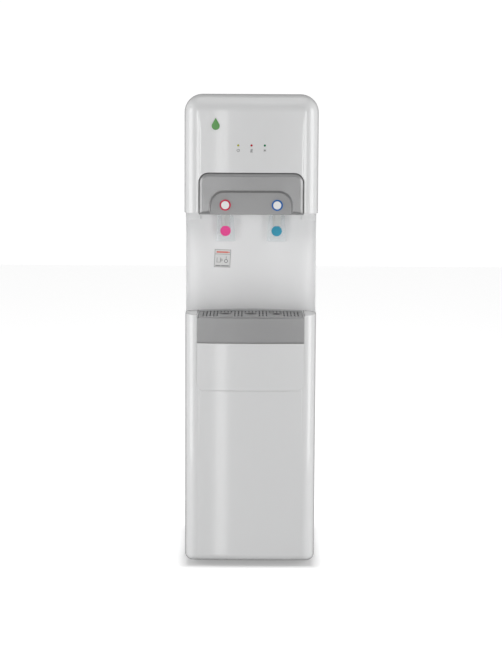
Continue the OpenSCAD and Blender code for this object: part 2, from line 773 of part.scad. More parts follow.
module drip_grille() {
    half = tray_half + 1;
    front = 6;
    slit_front = front + 14;
    color(silver) difference() {
        extrude_z(tray_plan(half, front, tray_gap), grille_z, grille_top_z);
        for (i = [-1:1]) rod_z(i * cup_hole_pitch, 58, grille_z - 1, grille_top_z + 1, cup_hole_r);
        for (x = [slit_pitch / 2:slit_pitch:half - 8]) each_side(x)
            for (row = [0:2])
                if (grille_slit_free(x, slit_front + row * 28))
                    block(-slit_w / 2, slit_w / 2, slit_front + row * 28,
                        min(slit_front + row * 28 + 22, scoop_at(x) - 10), grille_z - 1,
                            grille_top_z + 1);
    }
}
// A slit stays clear of the three cup rings and of the curved back edge
function grille_slit_free(x, d) =
    scoop_at(x) - 10 > d + 6
    && (d + 22 < 58 - cup_hole_r - 2 || d > 58 + cup_hole_r + 2
        || min([for (i = [-1:1]) abs(x - i * cup_hole_pitch)]) > cup_hole_r + slit_w);

module apron_panel() {
    color(white) {
        intersection() {
            extrude_z(crown_plan(fascia_half, 0, cover_t), apron_z, apron_top_z);
            extrude_y(round_rect(-fascia_half, apron_z, fascia_half, apron_top_z, apron_corner_r, 0),
                -1, side_d);
        }
        // Flange that is screwed under the tray's housing
        block(-face_half + 15, face_half - 15, cover_t + face_crown / 2, 44, apron_top_z - cover_t,
            apron_top_z);
    }
}

// ---- Cold water ----

shelf_t = 1.5;
shelf_half = cab_half - sheet_t;
tank_x = 0;
foam_r = cold_tank_r + 2 * coil_r + 1 + foam_t;
tank_d = back_d - sheet_t - flange_w - foam_r;
cup_z = lower_top_z + 55;
tank_z = cup_z + foam_t;
tank_top_z = tank_z + cold_tank_h;
module shelf(z, front) {
    block(-shelf_half, shelf_half, front, back_d - 2 * sheet_t, z - shelf_t, z);
    for (s = [0, 1]) mirror([s, 0, 0])
        block(shelf_half - shelf_t, shelf_half, front, back_d - 2 * sheet_t, z - 14, z - shelf_t);
}
shelf_front_d = scoop_d0 + scoop_depth + bay_t + 4;
module tank_shelf() {
    color(zinc) difference() {
        shelf(cup_z, shelf_front_d);
        rod_z(line_mid_x, line_d, cup_z - 20, cup_z + 1, line_hole_r);
        rod_z(riser_x, riser_d, cup_z - 20, cup_z + 1, tube_r + 5);
        rod_z(tank_x, tank_d, cup_z - 20, cup_z + 1, tube_r + 5);
        rod_z(vent_x, riser_d, cup_z - 20, cup_z + 1, tube_r + 5);
    }
}
module insulation_cup() {
    color([0.95, 0.95, 0.93]) difference() {
        rod_z(tank_x, tank_d, cup_z, tank_top_z, foam_r);
        rod_z(tank_x, tank_d, tank_z, tank_top_z + 1, foam_r - foam_t);
        rod_z(tank_x, tank_d, cup_z - 1, tank_z + 1, tube_r + 2);
        // Groove for the two refrigerant tails
        block(line_x - coil_r - 1, suction_x + coil_r + 1, tank_d + cold_tank_r - 20, back_d,
            cup_z - 1, tank_top_z + 1);
    }
}
coil_low_z = tank_z + 20;
coil_pitch = 2 * coil_r + 6;
coil_top_z = coil_low_z + (coil_turns - 1) * coil_pitch;
coil_mid_r = cold_tank_r + coil_r + 0.05;
module evaporator_coil() {
    color(copper) translate([tank_x, at_d(tank_d), 0]) {
        for (i = [0:coil_turns - 1]) translate([0, 0, coil_low_z + i * coil_pitch])
            torus(coil_mid_r, coil_r);
        // Link between the turns
        translate([0, -coil_mid_r, coil_low_z]) cylinder(h = coil_top_z - coil_low_z, r = coil_r * 0.9);
    }
}
module cold_tank() {
    wall = 1;
    color(stainless) difference() {
        rod_z(tank_x, tank_d, tank_z, tank_top_z, cold_tank_r);
        rod_z(tank_x, tank_d, tank_z + wall, tank_top_z + 1, cold_tank_r - wall);
        rod_z(tank_x, tank_d, tank_z - 1, tank_z + 2, tube_r + eps);
    }
}
lid_h = 16;
module cold_tank_lid() {
    color(natural) difference() {
        union() {
            rod_z(tank_x, tank_d, tank_top_z, tank_top_z + lid_h, foam_r);
            rod_z(tank_x, tank_d, tank_top_z - 6, tank_top_z, cold_tank_r - 1.3);
        }
        rod_z(tank_x, tank_d, tank_top_z - 7, tank_top_z + lid_h - 4, cold_tank_r - 6);
        rod_z(tank_x + inlet_off, tank_d, tank_top_z, tank_top_z + lid_h + 1, tube_r + eps);
    }
}
inlet_off = 30;

// Compressor, condenser and lines
bolt_r = 3;
comp_x = 20;
comp_d = back_d - sheet_t - 22 - compressor_r;
comp_foot = compressor_r * 0.82;
grommet_h = 14;
comp_z = pan_floor_z + grommet_h;
comp_plate_t = 3;
stub_x = comp_x - compressor_r - 12;
stub_h = 60;
module compressor_bolts() {
    translate([comp_x, at_d(comp_d), 0]) for (a = [-1, 1], b = [-1, 1])
        translate([a * comp_foot, b * comp_foot, 0]) children();
}
module compressor() {
    dome = 26;
    color(black) {
        difference() {
            translate([comp_x, at_d(comp_d), comp_z]) linear_extrude(comp_plate_t)
                polygon(round_rect(-comp_foot - 12, -comp_foot - 12, comp_foot + 12, comp_foot + 12, 10,
                    10));
            compressor_bolts() cylinder(h = 100, r = bolt_r);
        }
        translate([comp_x, at_d(comp_d), comp_z + comp_plate_t]) rotate_extrude() polygon(concat(
            [[0, 0]], [[compressor_r - 10, 0], [compressor_r, 12]],
            arc(0, compressor_h - dome, compressor_r, dome, 0, 90)));
        // Suction, discharge and process stubs, and the relay cover
        rod_z(comp_x, comp_d, comp_z + compressor_h - 6, comp_z + compressor_h + 14, coil_r);
        rod_x(stub_x, stub_x + 20, comp_d, comp_z + stub_h, coil_r);
        block(comp_x + compressor_r - 10, comp_x + compressor_r + 22, comp_d - 20, comp_d + 20,
            comp_z + 30, comp_z + 80);
    }
}
module compressor_grommets() {
    color(black) compressor_bolts() translate([0, 0, pan_floor_z]) difference() {
        cylinder(h = grommet_h, r = 9);
        translate([0, 0, -1]) cylinder(h = grommet_h + 2, r = bolt_r);
    }
}
wire_r = 0.8;
condenser_r = 2.4;
condenser_half = cab_half - 45;
condenser_z = lower_top_z - 320;
condenser_tube_d = overall_d - 2 * wire_r - condenser_r - 0.02;
condenser_top_z = condenser_z + (condenser_runs - 1) * condenser_pitch;
wire_pitch = 20;
module condenser() {
    color(black) {
        for (i = [0:condenser_runs - 1])
            rod_x(-condenser_half, condenser_half, condenser_tube_d, condenser_z + i * condenser_pitch,
                condenser_r);
        for (i = [0:condenser_runs - 2])
            translate([(i % 2 == 0 ? 1 : -1) * condenser_half, at_d(condenser_tube_d),
                condenser_z + (i + 0.5) * condenser_pitch])
                rotate([90, 0, 0]) rotate([0, 0, i % 2 == 0 ? -90 : 90])
                    rotate_extrude(angle = 180) translate([condenser_pitch / 2, 0]) circle(condenser_r);
        for (x = [-condenser_half + 6:wire_pitch:condenser_half - 6])
            rod_z(x, overall_d - wire_r, condenser_z - 12, condenser_top_z + 12, wire_r);
        for (i = [1, condenser_runs - 2]) each_side(condenser_half - 20)
            block(-5, 5, back_d, condenser_tube_d, condenser_z + i * condenser_pitch - 3,
                condenser_z + i * condenser_pitch + 3);
    }
}
line_x = -40;
suction_x = line_x + 14;
line_mid_x = (line_x + suction_x) / 2;
line_d = back_d - 26;
line_hole_r = 14;
discharge_x = comp_x - 20;
return_x = -70;
compressor_line_z = condenser_z + 40;
dryer_line_z = condenser_z - 20;
dryer_x = comp_x - compressor_r - 46;
dryer_d = comp_d - 20;
dryer_z = comp_z + 60;
dryer_h = 70;
module filter_dryer() {
    color(copper) {
        rod_z(dryer_x, dryer_d, dryer_z, dryer_z + dryer_h, 9);
        rod_z(dryer_x, dryer_d, dryer_z - 14, dryer_z + dryer_h + 14, coil_r);
    }
}
// Depth just behind the evaporator's rings
function coil_back_at(x) = tank_d + sqrt(pow(coil_mid_r + coil_r, 2) - pow(abs(x) - coil_r, 2)) + 0.3;
module refrigerant_lines() {
    r = coil_r - 0.4;
    top = comp_z + compressor_h + 14;
    color(copper) {
        // Discharge line, from the compressor's top out to the condenser
        tube_run([[comp_x, comp_d, top + eps], [comp_x, comp_d, top + 16],
            [discharge_x, back_d - 30, compressor_line_z],
            [discharge_x, condenser_tube_d - condenser_r - r - 0.4, compressor_line_z]], r);
        // Return line, from the condenser down to the foot of the dryer
        tube_run([[return_x, condenser_tube_d - condenser_r - r - 0.4, dryer_line_z],
            [return_x, back_d - 30, dryer_line_z], [dryer_x, dryer_d, dryer_z - 34],
            [dryer_x, dryer_d, dryer_z - 14 - eps]], r);
        // Liquid line, from the dryer up to the foot of the evaporator
        tube_run([[dryer_x, dryer_d, dryer_z + dryer_h + 14 + eps],
            [dryer_x, dryer_d, dryer_z + dryer_h + 30],
            [line_x, line_d, dryer_z + dryer_h + 60], [line_x, line_d, coil_low_z],
            [line_x, coil_back_at(line_x), coil_low_z]], r);
        // Suction line, from the head of the evaporator down to the compressor's side stub
        tube_run([[suction_x, coil_back_at(suction_x), coil_top_z], [suction_x, line_d, coil_top_z],
            [suction_x, line_d, top + 40], [stub_x - 8, comp_d + 20, comp_z + 90],
            [stub_x - 8, comp_d, comp_z + stub_h], [stub_x - eps, comp_d, comp_z + stub_h]], r);
    }
}

// ---- Hot water, filters and water lines ----

lower_shelf_z = apron_z;
hot_tank_x = 66;
hot_tank_d = back_d - sheet_t - flange_w - hot_tank_r - 6;
module lower_shelf() {
    color(zinc) difference() {
        shelf(lower_shelf_z, side_d - 40);
        rod_z(line_mid_x, line_d, lower_shelf_z - 20, lower_shelf_z + 1, line_hole_r);
        rod_z(riser_x, riser_d, lower_shelf_z - 20, lower_shelf_z + 1, tube_r + 5);
        rod_z(vent_x, riser_d, lower_shelf_z - 20, lower_shelf_z + 1, tube_r + 5);
        // Clear of the flanges along the front of the steel sides
        each_side(shelf_half) block(-flange_w - 3, flange_w + 3, 0, steel_d + sheet_t + 1,
            lower_shelf_z - 20, lower_shelf_z + 1);
    }
}
module hot_tank() {
    dome = 14;
    leg_h = 8;
    z0 = lower_shelf_z + leg_h;
    color(stainless) translate([hot_tank_x, at_d(hot_tank_d), 0]) {
        translate([0, 0, z0]) rotate_extrude() polygon(concat(
            arc(0, dome, hot_tank_r, dome, -90, 0),
            arc(0, hot_tank_h - dome, hot_tank_r, dome, 0, 90)));
        for (a = [30, 150, 270]) rotate([0, 0, a]) translate([hot_tank_r - 12, -4, lower_shelf_z])
            cube([5, 8, leg_h + dome]);
        translate([0, 0, z0 + hot_tank_h - 2]) cylinder(h = 14, r = 5);
    }
}
band_t = 3;
module heater_band() {
    z0 = lower_shelf_z + 40;
    color([0.7, 0.6, 0.35]) difference() {
        union() {
            rod_z(hot_tank_x, hot_tank_d, z0, z0 + 38, hot_tank_r + band_t);
            block(hot_tank_x - 8, hot_tank_x + 8, hot_tank_d - hot_tank_r - 12, hot_tank_d - hot_tank_r,
                z0 + 8, z0 + 30);
        }
        rod_z(hot_tank_x, hot_tank_d, z0 - 1, z0 + 39, hot_tank_r);
    }
}
module control_board() {
    x0 = -cab_half + 18;
    z0 = lower_shelf_z + 30;
    board_w = 80;
    board_h = 100;
    stand_off = 8;
    d1 = back_d - sheet_t;
    color([0.12, 0.4, 0.22]) {
        block(x0, x0 + board_w, d1 - stand_off - 1.6, d1 - stand_off, z0, z0 + board_h);
        for (x = [x0 + 6, x0 + board_w - 6], z = [z0 + 6, z0 + board_h - 6])
            rod_y(x, z, d1 - stand_off, d1, 2.5);
        block(x0 + 12, x0 + 40, d1 - stand_off - 22, d1 - stand_off - 1.6, z0 + 14, z0 + 44);
        block(x0 + 50, x0 + 68, d1 - stand_off - 16, d1 - stand_off - 1.6, z0 + 14, z0 + 34);
        block(x0 + 14, x0 + 66, d1 - stand_off - 12, d1 - stand_off - 1.6, z0 + 78, z0 + 90);
    }
}

filter_d = side_d - 8;
head_block_h = 26;
head_block_z = lower_shelf_z - shelf_t - head_block_h;
neck_r = 11;
neck_h = 14;
filter_top_z = head_block_z - 0.5;
module at_filters() { for (i = [-1:1]) translate([i * filter_pitch, 0, 0]) children(); }
module filter_heads() {
    color([0.3, 0.45, 0.7]) difference() {
        union() {
            at_filters() rod_z(0, filter_d, head_block_z, lower_shelf_z - shelf_t, filter_r - 3);
            block(-filter_pitch, filter_pitch, filter_d - 8, filter_d + 8, head_block_z + 10,
                lower_shelf_z - shelf_t);
        }
        at_filters() rod_z(0, filter_d, head_block_z - 1, head_block_z + neck_h + 1, neck_r + run_gap);
    }
}
module filter_cartridge(i, tint) {
    x = i * filter_pitch;
    z0 = filter_top_z - filter_l;
    shoulder = 10;
    color(tint) {
        translate([x, at_d(filter_d), z0]) rotate_extrude() polygon(concat(
            [[0, 0]], arc(filter_r - 6, 6, 6, 6, -90, 0),
            arc(filter_r - shoulder, filter_l - shoulder, shoulder, shoulder, 0, 90), [[0, filter_l]]));
        rod_z(x, filter_d, filter_top_z - 1, head_block_z + neck_h, neck_r);
        // Grip wings under the cartridge
        for (a = [0, 90]) translate([x, at_d(filter_d), z0 - 8]) rotate([0, 0, a])
            translate([-14, -2, 0]) cube([28, 4, 10]);
    }
}
module sediment_filter() filter_cartridge(-1, "white");
module carbon_filter() filter_cartridge(0, "white");
module post_filter() filter_cartridge(1, "white");

riser_x = -cab_half + 40;
riser_d = tank_d - foam_r + 14;
vent_x = cab_half - 36;
fitting_r = 8;
fitting_x = -cab_half + 45;
inlet_z = clearance_h + 132;
drain_z = clearance_h + 72;
module water_lines() {
    r = tube_r;
    port_z = filter_heads_top - 12;
    head_side_x = filter_pitch + filter_r - 3 + r + 0.5;
    fork_z = lower_shelf_z + hot_tank_h + 56;
    over_lid_z = tank_top_z + lid_h + 26;
    color([0.9, 0.93, 0.97]) {
        // From the inlet fitting to the first filter head
        tube_run([[fitting_x, back_d - 30 - eps, inlet_z], [fitting_x, riser_d, inlet_z],
            [fitting_x, riser_d, port_z], [-head_side_x, riser_d, port_z],
            [-head_side_x, filter_d, port_z]], r);
        // From the last filter head up past the shelves to the cold tank's lid
        tube_run([[head_side_x, filter_d, port_z], [vent_x, filter_d + 20, port_z],
            [vent_x, riser_d, port_z - 12], [vent_x, riser_d, over_lid_z],
            [tank_x + inlet_off, tank_d, over_lid_z],
            [tank_x + inlet_off, tank_d, tank_top_z + lid_h - 6]], r);
        // From the cold tank's floor down to the hot tank's neck
        tube_run([[tank_x, tank_d, tank_z - eps], [tank_x, tank_d, fork_z],
            [hot_tank_x, hot_tank_d, fork_z],
            [hot_tank_x, hot_tank_d, lower_shelf_z + hot_tank_h + 21]], r);
    }
}
filter_heads_top = lower_shelf_z - shelf_t;

// ---- Rear fittings and electrics ----

fitting_l = 16;
module rear_fittings() {
    color("white") for (z = [inlet_z, drain_z]) difference() {
        union() {
            rod_y(fitting_x, z, back_d - 30, back_d + fitting_l, fitting_r);
            rod_y(fitting_x, z, back_d, back_d + 3, fitting_r + 4);
            rod_y(fitting_x, z, back_d - sheet_t - 4, back_d - sheet_t, fitting_r + 4);
        }
        rod_y(fitting_x, z, back_d - 14, back_d + fitting_l + 1, tube_r);
    }
}
plug_pin_l = 8;
module drain_plug() {
    color([0.2, 0.35, 0.6]) {
        rod_y(fitting_x, drain_z, back_d + fitting_l - plug_pin_l, back_d + fitting_l + 1,
            tube_r - run_gap);
        rod_y(fitting_x, drain_z, back_d + fitting_l + 0.3, back_d + fitting_l + 6, fitting_r - 2);
    }
}

plate_x = cab_half - 50;
plate_w = 34;
plate_h = 104;
plate_z = clearance_h + 58;
plate_lip = 4;
rocker_w = 12;
rocker_h = 20;
rocker_gap = 0.8;
rocker_pin_r = 1.5;
rocker_pin_l = 2.6;
rocker_d = back_d - 3;
hot_rocker_z = plate_z + 54;
cold_rocker_z = plate_z + 86;
inlet_w = 25;
inlet_h = 17;
inlet_centre_z = plate_z + 20;
module switch_plate() {
    depth = 24;
    color(black) {
        difference() {
            union() {
                block(plate_x - plate_w / 2, plate_x + plate_w / 2, back_d - depth, back_d, plate_z,
                    plate_z + plate_h);
                block(plate_x - plate_w / 2 - plate_lip, plate_x + plate_w / 2 + plate_lip, back_d,
                    back_d + 2,
                    plate_z - plate_lip, plate_z + plate_h + plate_lip);
            }
            // Mains inlet with chamfered lower corners
            extrude_y([[plate_x - inlet_w / 2 + 5, inlet_centre_z - inlet_h / 2],
                [plate_x + inlet_w / 2 - 5, inlet_centre_z - inlet_h / 2],
                [plate_x + inlet_w / 2, inlet_centre_z - inlet_h / 2 + 5],
                    [plate_x + inlet_w / 2, inlet_centre_z + inlet_h / 2],
                [plate_x - inlet_w / 2, inlet_centre_z + inlet_h / 2],
                    [plate_x - inlet_w / 2, inlet_centre_z - inlet_h / 2 + 5]],
                back_d - 18, back_d + 3);
            for (z = [hot_rocker_z, cold_rocker_z]) block(plate_x - rocker_w / 2 - rocker_gap,
                plate_x + rocker_w / 2 + rocker_gap,
                back_d - 12, back_d + 3, z - rocker_h / 2 - rocker_gap, z + rocker_h / 2 + rocker_gap);
            for (z = [hot_rocker_z, cold_rocker_z])
                rod_x(plate_x - rocker_w / 2 - rocker_pin_l - 0.4,
                    plate_x + rocker_w / 2 + rocker_pin_l + 0.4,
                    rocker_d, z, rocker_pin_r + run_gap);
        }
        for (p = [[-7, -2], [0, 2], [7, -2]]) block(plate_x + p[0] - 1, plate_x + p[0] + 1, back_d - 19,
            back_d - 4,
            inlet_centre_z + p[1] - 2, inlet_centre_z + p[1] + 2);
    }
}
rocker_tilt = 10;
// A rocker that rests tilted to its off side, on a pivot across its middle
module switch_rocker(z, tint) {
    color(tint) {
        translate([plate_x, at_d(rocker_d), z]) rotate([rocker_tilt, 0, 0])
            rotate([90, 0, 90]) translate([0, 0, -rocker_w / 2]) linear_extrude(rocker_w)
                polygon([[-5, -4], [-5, 4], [0, rocker_h / 2 - 1.2], [4, rocker_h / 2 - 1.2],
                    [2.6, 0], [4, -rocker_h / 2 + 1.2], [0, -rocker_h / 2 + 1.2]]);
        rod_x(plate_x - rocker_w / 2 - rocker_pin_l, plate_x + rocker_w / 2 + rocker_pin_l,
            rocker_d, z, rocker_pin_r);
    }
}
module hot_switch_rocker() switch_rocker(hot_rocker_z, "firebrick");
module cold_switch_rocker() switch_rocker(cold_rocker_z, "seagreen");

base_pan();
feet();
left_side_panel();
right_side_panel();
rear_panel();
rear_screws();
top_cover();
head_cover();
tap_bezel();
bay_panel();
lower_front_panel();
left_column();
right_column();
apron_panel();
tray_housing();
drip_tray();
tray_fascia();
drip_grille();
tap_carrier();
hot_faucet_body();
cold_faucet_body();
hot_lever();
cold_lever();
hot_lever_dot();
cold_lever_dot();
hot_valve_plunger();
cold_valve_plunger();
hot_button_cap();
cold_button_cap();
hot_button_ring();
cold_button_ring();
hot_button_spring();
cold_button_spring();
power_lamp();
hot_lamp();
cold_lamp();
emblem_badge();
info_label();
tank_shelf();
insulation_cup();
evaporator_coil();
cold_tank();
cold_tank_lid();
lower_shelf();
hot_tank();
heater_band();
control_board();
compressor();
compressor_grommets();
condenser();
filter_dryer();
refrigerant_lines();
filter_heads();
sediment_filter();
carbon_filter();
post_filter();
water_lines();
rear_fittings();
drain_plug();
switch_plate();
hot_switch_rocker();
cold_switch_rocker();
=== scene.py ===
"""Looks of a floor-standing water dispenser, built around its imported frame.

Lengths are metres. X is to the right, Y runs from the front to the back and Z is up.
"""

from __future__ import annotations

import json
import logging
import math
from dataclasses import dataclass, field
from enum import Enum
from typing import Any, Callable, Iterable, Sequence

import bmesh
import bpy
import numpy as np
from mathutils import Matrix, Vector

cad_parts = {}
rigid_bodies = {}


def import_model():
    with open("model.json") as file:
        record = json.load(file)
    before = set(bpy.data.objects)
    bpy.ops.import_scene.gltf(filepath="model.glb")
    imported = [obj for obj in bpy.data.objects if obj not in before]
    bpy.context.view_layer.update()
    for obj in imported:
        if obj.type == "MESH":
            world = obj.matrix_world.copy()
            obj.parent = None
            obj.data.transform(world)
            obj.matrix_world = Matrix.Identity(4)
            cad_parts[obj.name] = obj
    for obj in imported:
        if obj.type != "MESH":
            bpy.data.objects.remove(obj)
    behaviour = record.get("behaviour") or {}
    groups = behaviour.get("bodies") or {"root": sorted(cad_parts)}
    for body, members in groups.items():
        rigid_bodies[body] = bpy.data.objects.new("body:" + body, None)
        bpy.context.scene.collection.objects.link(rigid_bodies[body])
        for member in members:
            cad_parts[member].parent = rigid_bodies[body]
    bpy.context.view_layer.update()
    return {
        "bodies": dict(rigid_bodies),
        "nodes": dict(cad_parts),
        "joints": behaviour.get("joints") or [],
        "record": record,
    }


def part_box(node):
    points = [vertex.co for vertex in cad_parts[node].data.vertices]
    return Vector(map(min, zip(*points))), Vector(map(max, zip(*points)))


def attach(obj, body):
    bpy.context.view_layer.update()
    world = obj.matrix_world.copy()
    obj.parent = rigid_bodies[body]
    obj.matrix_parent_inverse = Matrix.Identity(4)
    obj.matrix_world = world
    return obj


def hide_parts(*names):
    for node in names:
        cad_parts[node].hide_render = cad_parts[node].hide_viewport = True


LOG = logging.getLogger("dispenser")
MM = 0.001
Colour = tuple[float, float, float]
Points = np.ndarray


# ---- Shader building ----


class Signal:
    """A shader socket that takes part in arithmetic."""

    def __init__(self, graph: "Graph", socket: Any) -> None:
        """Wraps one output socket of a graph."""
        self.graph = graph
        self.socket = socket

    def _maths(self, operation: str, *values: Any) -> "Signal":
        """Adds one Math node and returns its result."""
        return self.graph.out("ShaderNodeMath", {"operation": operation}, dict(enumerate(values)))

    def __add__(self, other: Any) -> "Signal":
        """self + other."""
        return self._maths("ADD", self, other)

    def __sub__(self, other: Any) -> "Signal":
        """self - other."""
        return self._maths("SUBTRACT", self, other)

    def __mul__(self, other: Any) -> "Signal":
        """self * other."""
        return self._maths("MULTIPLY", self, other)

    def __rsub__(self, other: Any) -> "Signal":
        """other - self."""
        return self._maths("SUBTRACT", other, self)

    __radd__ = __add__
    __rmul__ = __mul__

    def power(self, exponent: float) -> "Signal":
        """self raised to exponent."""
        return self._maths("POWER", self, exponent)

    def absolute(self) -> "Signal":
        """The size of self without its sign."""
        return self._maths("ABSOLUTE", self)

    def larger(self, other: Any) -> "Signal":
        """The larger of self and other."""
        return self._maths("MAXIMUM", self, other)

    def span(self, low: float, high: float, to_low: float = 0.0, to_high: float = 1.0) -> "Signal":
        """self mapped smoothly from low..high to to_low..to_high.

        Args:
            low: Value that gives to_low.
            high: Value that gives to_high.
            to_low: Result at and below low.
            to_high: Result at and above high.

        Returns:
            The mapped signal.
        """
        return self.graph.out(
            "ShaderNodeMapRange",
            {"interpolation_type": "SMOOTHSTEP"},
            {"Value": self, "From Min": low, "From Max": high, "To Min": to_low, "To Max": to_high},
        )


class Graph:
    """The node tree of one material or of the world."""

    def __init__(self, tree: Any) -> None:
        """Empties a node tree and takes charge of it."""
        self.tree = tree
        tree.nodes.clear()

    def node(self, kind: str, settings: dict | None = None, inputs: dict | None = None) -> Any:
        """Adds a node.

        Args:
            kind: Blender's name of the node's type.
            settings: Properties to set before the inputs.
            inputs: Socket name or number to a value, a Signal or a socket.

        Returns:
            The new node.
        """
        made = self.tree.nodes.new(kind)
        for name, value in (settings or {}).items():
            setattr(made, name, value)
        for name, value in (inputs or {}).items():
            if isinstance(value, Signal):
                value = value.socket
            if isinstance(value, bpy.types.NodeSocket):
                self.tree.links.new(value, made.inputs[name])
            else:
                made.inputs[name].default_value = value
        return made

    def out(self, kind: str, settings: dict | None = None, inputs: dict | None = None,
            output: str | int = 0) -> Signal:
        """Adds a node and returns one of its outputs as a Signal."""
        return Signal(self, self.node(kind, settings, inputs).outputs[output])

    def place(self) -> tuple[Any, Signal, Signal, Signal]:
        """The object coordinates, as a vector socket and as three signals.

        Returns:
            The vector socket, then x, y and z.
        """
        vector = self.node("ShaderNodeTexCoord").outputs["Object"]
        split = self.node("ShaderNodeSeparateXYZ", None, {0: vector})
        x, y, z = (Signal(self, split.outputs[number]) for number in range(3))
        return vector, x, y, z

    def noise(self, vector: Any, size: float, detail: float = 3.0) -> Signal:
        """Noise between 0 and 1 whose blobs are about size metres wide."""
        return self.out("ShaderNodeTexNoise", None,
                        {"Vector": vector, "Scale": 1.0 / size, "Detail": detail}, "Fac")

    def stretched(self, vector: Any, scale: Sequence[float]) -> Any:
        """The vector scaled along its axes."""
        return self.node("ShaderNodeMapping", None, {"Vector": vector, "Scale": tuple(scale)}).outputs[0]

    def blend(self, factor: Any, first: Any, second: Any) -> Any:
        """A colour between first and second.

        Args:
            factor: Share of the second colour.
            first: A colour or a socket.
            second: A colour or a socket.

        Returns:
            The mixed colour's socket.
        """
        made = self.node("ShaderNodeMix", {"data_type": "RGBA"}, {0: factor})
        for number, value in ((6, first), (7, second)):
            if isinstance(value, (tuple, list)):
                made.inputs[number].default_value = (*value, 1.0)
            else:
                self.tree.links.new(value, made.inputs[number])
        return made.outputs[2]

    def bump(self, height: Signal, depth: float, strength: float = 1.0) -> Any:
        """A normal bent by a height signal that spans depth metres."""
        return self.node("ShaderNodeBump", None,
                         {"Height": height, "Distance": depth, "Strength": strength}).outputs[0]


@dataclass(frozen=True)
class Finish:
    """A surface finish. Its subclasses say how it varies over a piece."""

    name: str
    colour: Colour
    roughness: float = 0.4
    metallic: float = 0.0
    fixed: tuple[tuple[str, Any], ...] = ()

    def material(self) -> bpy.types.Material:
        """The finish as a material, made once and then shared.

        Returns:
            The material.
        """
        label = "finish_" + self.name
        found = bpy.data.materials.get(label)
        if found:
            return found
        made = bpy.data.materials.new(label)
        made.use_nodes = True
        made.diffuse_color = (*self.colour, 1.0)
        graph = Graph(made.node_tree)
        inputs: dict[str, Any] = {"Roughness": self.roughness, "Metallic": self.metallic,
                                  "Base Color": (*self.colour, 1.0), **dict(self.fixed)}
        inputs.update(self.surface(graph))
        shader = graph.node("ShaderNodeBsdfPrincipled", None, inputs)
        graph.node("ShaderNodeOutputMaterial", None, {"Surface": shader.outputs[0]})
        return made

    def surface(self, graph: Graph) -> dict[str, Any]:
        """The inputs of the shader that change over the piece."""
        return {}


@dataclass(frozen=True)
class Moulded(Finish):
    """Injection moulded plastic: a faint tone drift, flow haze and a fine skin."""

    grain: float = 0.0009
    grain_depth: float = 0.000004
    drift: float = 0.02

    def surface(self, graph: Graph) -> dict[str, Any]:
        """Tone, haze and skin.

        Args:
            graph: The material's graph.

        Returns:
            The inputs of the shader that vary.
        """
        vector, _, _, _ = graph.place()
        cloud = graph.noise(vector, 0.3, 1.0)
        skin = graph.noise(vector, self.grain, 2.0)
        dark = tuple(c * (1.0 - self.drift * 2.0) for c in self.colour)
        return {
            "Base Color": graph.blend(cloud, dark, self.colour),
            "Roughness": skin.span(0.1, 0.9, self.roughness * 0.94, self.roughness * 1.06),
            "Normal": graph.bump(skin, self.grain_depth),
        }


@dataclass(frozen=True)
class MetallicPaint(Finish):
    """Silver paint on plastic: fine flakes under a clear coat."""

    flake: float = 0.00035

    def surface(self, graph: Graph) -> dict[str, Any]:
        """Flakes, and a slow drift of gloss.

        Args:
            graph: The material's graph.

        Returns:
            The inputs of the shader that vary.
        """
        vector, _, _, _ = graph.place()
        flakes = graph.out("ShaderNodeTexVoronoi", {"feature": "F1"},
                           {"Vector": vector, "Scale": 1.0 / self.flake}, "Distance")
        cloud = graph.noise(vector, 0.03, 2.0)
        dark = tuple(c * 0.9 for c in self.colour)
        return {
            "Base Color": graph.blend(flakes.span(0.15, 0.7), self.colour, dark),
            "Roughness": cloud.span(0.3, 0.7, self.roughness * 0.92, self.roughness * 1.1),
            "Normal": graph.bump(flakes, 0.000003),
        }


@dataclass(frozen=True)
class PowderCoat(Finish):
    """Powder coated or enamelled sheet with orange peel."""

    peel: float = 0.0022

    def surface(self, graph: Graph) -> dict[str, Any]:
        """Orange peel and a slow tone drift.

        Args:
            graph: The material's graph.

        Returns:
            The inputs of the shader that vary.
        """
        vector, _, _, _ = graph.place()
        peel = graph.noise(vector, self.peel, 1.0)
        cloud = graph.noise(vector, 0.12, 2.0)
        dark = tuple(c * 0.95 for c in self.colour)
        return {
            "Base Color": graph.blend(cloud.span(0.3, 0.7), dark, self.colour),
            "Roughness": peel.span(0.2, 0.8, self.roughness * 0.9, self.roughness * 1.12),
            "Normal": graph.bump(peel, 0.00003),
        }


class Spangle(Enum):
    """How a bare metal is marked."""

    ZINC = "zinc"
    BRUSHED = "brushed"
    DRAWN = "drawn"


@dataclass(frozen=True)
class BareMetal(Finish):
    """Bare metal with spangle, brush lines or drawing marks."""

    marks: Spangle = Spangle.BRUSHED

    def surface(self, graph: Graph) -> dict[str, Any]:
        """The marks, in tone, gloss and relief.

        Args:
            graph: The material's graph.

        Returns:
            The inputs of the shader that vary.
        """
        vector, _, _, _ = graph.place()
        if self.marks is Spangle.ZINC:
            pattern = graph.out("ShaderNodeTexVoronoi", {"feature": "F1"},
                                {"Vector": vector, "Scale": 160.0, "Randomness": 1.0}, "Color")
            pattern = graph.out("ShaderNodeRGBToBW", None, {0: pattern})
            depth = 0.000004
        else:
            stretch = (1.0, 1.0, 0.02) if self.marks is Spangle.BRUSHED else (0.1, 0.1, 1.0)
            pattern = graph.noise(graph.stretched(vector, stretch), 0.0006, 3.0)
            depth = 0.000006
        dark = tuple(c * 0.8 for c in self.colour)
        return {
            "Base Color": graph.blend(pattern.span(0.2, 0.8), dark, self.colour),
            "Roughness": pattern.span(0.2, 0.8, self.roughness * 0.8, self.roughness * 1.2),
            "Normal": graph.bump(pattern, depth),
        }


